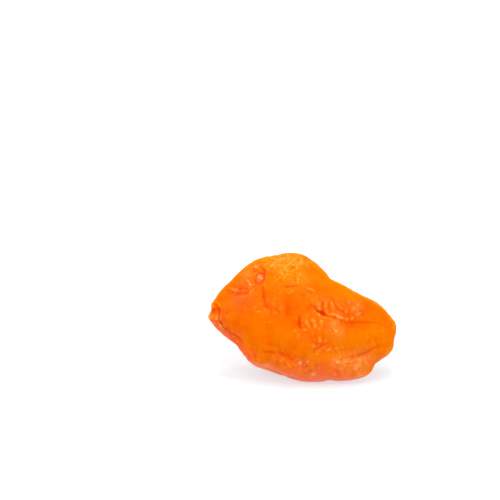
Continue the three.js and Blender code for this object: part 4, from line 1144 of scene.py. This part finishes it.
class APRICOT_OT_stage(bpy.types.Operator):
    """Make the floor, the soft light and the camera"""

    bl_idname = "apricot.stage"
    bl_label = "Make the stage"

    def execute(self, context):
        stage = context.scene.apricot_stage
        half = stage.floor_size / 2
        corners = [(-half, -half, 0), (half, -half, 0), (half, half, 0), (-half, half, 0)]
        mesh = bpy.data.meshes.new("floor_board")
        mesh.from_pydata(corners, [], [(0, 1, 2, 3)])
        mesh.materials.append(matt_board(stage.floor_colour, stage.floor_glow))
        put_in_scene(context, "floor_board", mesh)

        context.scene.world = white_studio(stage.softbox, stage.front)
        for name, share, place in LAMPS:
            lamp = bpy.data.lights.new(name, "SUN")
            lamp.energy = stage.lamp_strength * share
            lamp.angle = math.radians(LAMP_WIDTH)
            lamp.color = LAMP_COLOUR
            aimed(put_in_scene(context, name, lamp), place, (0, 0, 0))

        camera = bpy.data.cameras.new("camera")
        camera.lens = stage.lens
        camera.sensor_width = SENSOR
        camera.clip_start = 0.01
        camera.clip_end = 20
        pixel = FRUIT_LENGTH / PICTURE_LENGTH * MM
        sight = Vector((0, -math.cos(stage.sight), math.sin(stage.sight)))
        up = Vector((0, math.sin(stage.sight), math.cos(stage.sight)))
        middle = Vector((-FOOTPRINT[0], -FOOTPRINT[1], FOOT_DROP)) * MM
        across = (PICTURE_SIDE / 2 - PICTURE_MIDDLE[0]) * pixel
        above = (PICTURE_MIDDLE[1] - PICTURE_SIDE / 2) * pixel
        target = middle + Vector((across, 0, 0)) + up * above
        eye = put_in_scene(context, "camera", camera)
        aimed(eye, target + sight * (stage.lens / SENSOR * PICTURE_SIDE * pixel), target)
        context.scene.camera = eye
        context.scene.view_settings.view_transform = "Standard"
        return {"FINISHED"}


class APRICOT_PT_sidebar(bpy.types.Panel):
    """The fruit, its sizes and colours, and the stage"""

    bl_label = "Dried apricot"
    bl_space_type = "VIEW_3D"
    bl_region_type = "UI"
    bl_category = "Apricot"

    def draw(self, context):
        for settings, operator in (
                (context.scene.apricot_sizes, None),
                (context.scene.apricot_colours, "apricot.fruit"),
                (context.scene.apricot_stage, "apricot.stage")):
            box = self.layout.box()
            for name in settings.__annotations__:
                box.prop(settings, name)
            if operator:
                box.operator(operator)


CLASSES = (
    ApricotSizes, ApricotColours, StageSettings, APRICOT_OT_fruit, APRICOT_OT_stage, APRICOT_PT_sidebar)


def register():
    """Tell Blender the classes, and give the scene its settings."""
    for cls in CLASSES:
        bpy.utils.register_class(cls)
    bpy.types.Scene.apricot_sizes = PointerProperty(type=ApricotSizes)
    bpy.types.Scene.apricot_colours = PointerProperty(type=ApricotColours)
    bpy.types.Scene.apricot_stage = PointerProperty(type=StageSettings)


def unregister():
    """Take the settings and the classes away again."""
    del bpy.types.Scene.apricot_stage
    del bpy.types.Scene.apricot_colours
    del bpy.types.Scene.apricot_sizes
    for cls in reversed(CLASSES):
        bpy.utils.unregister_class(cls)


def main():
    """Make everything."""
    register()
    bpy.ops.apricot.fruit()
    bpy.ops.apricot.stage()


if __name__ == "__main__":
    main()
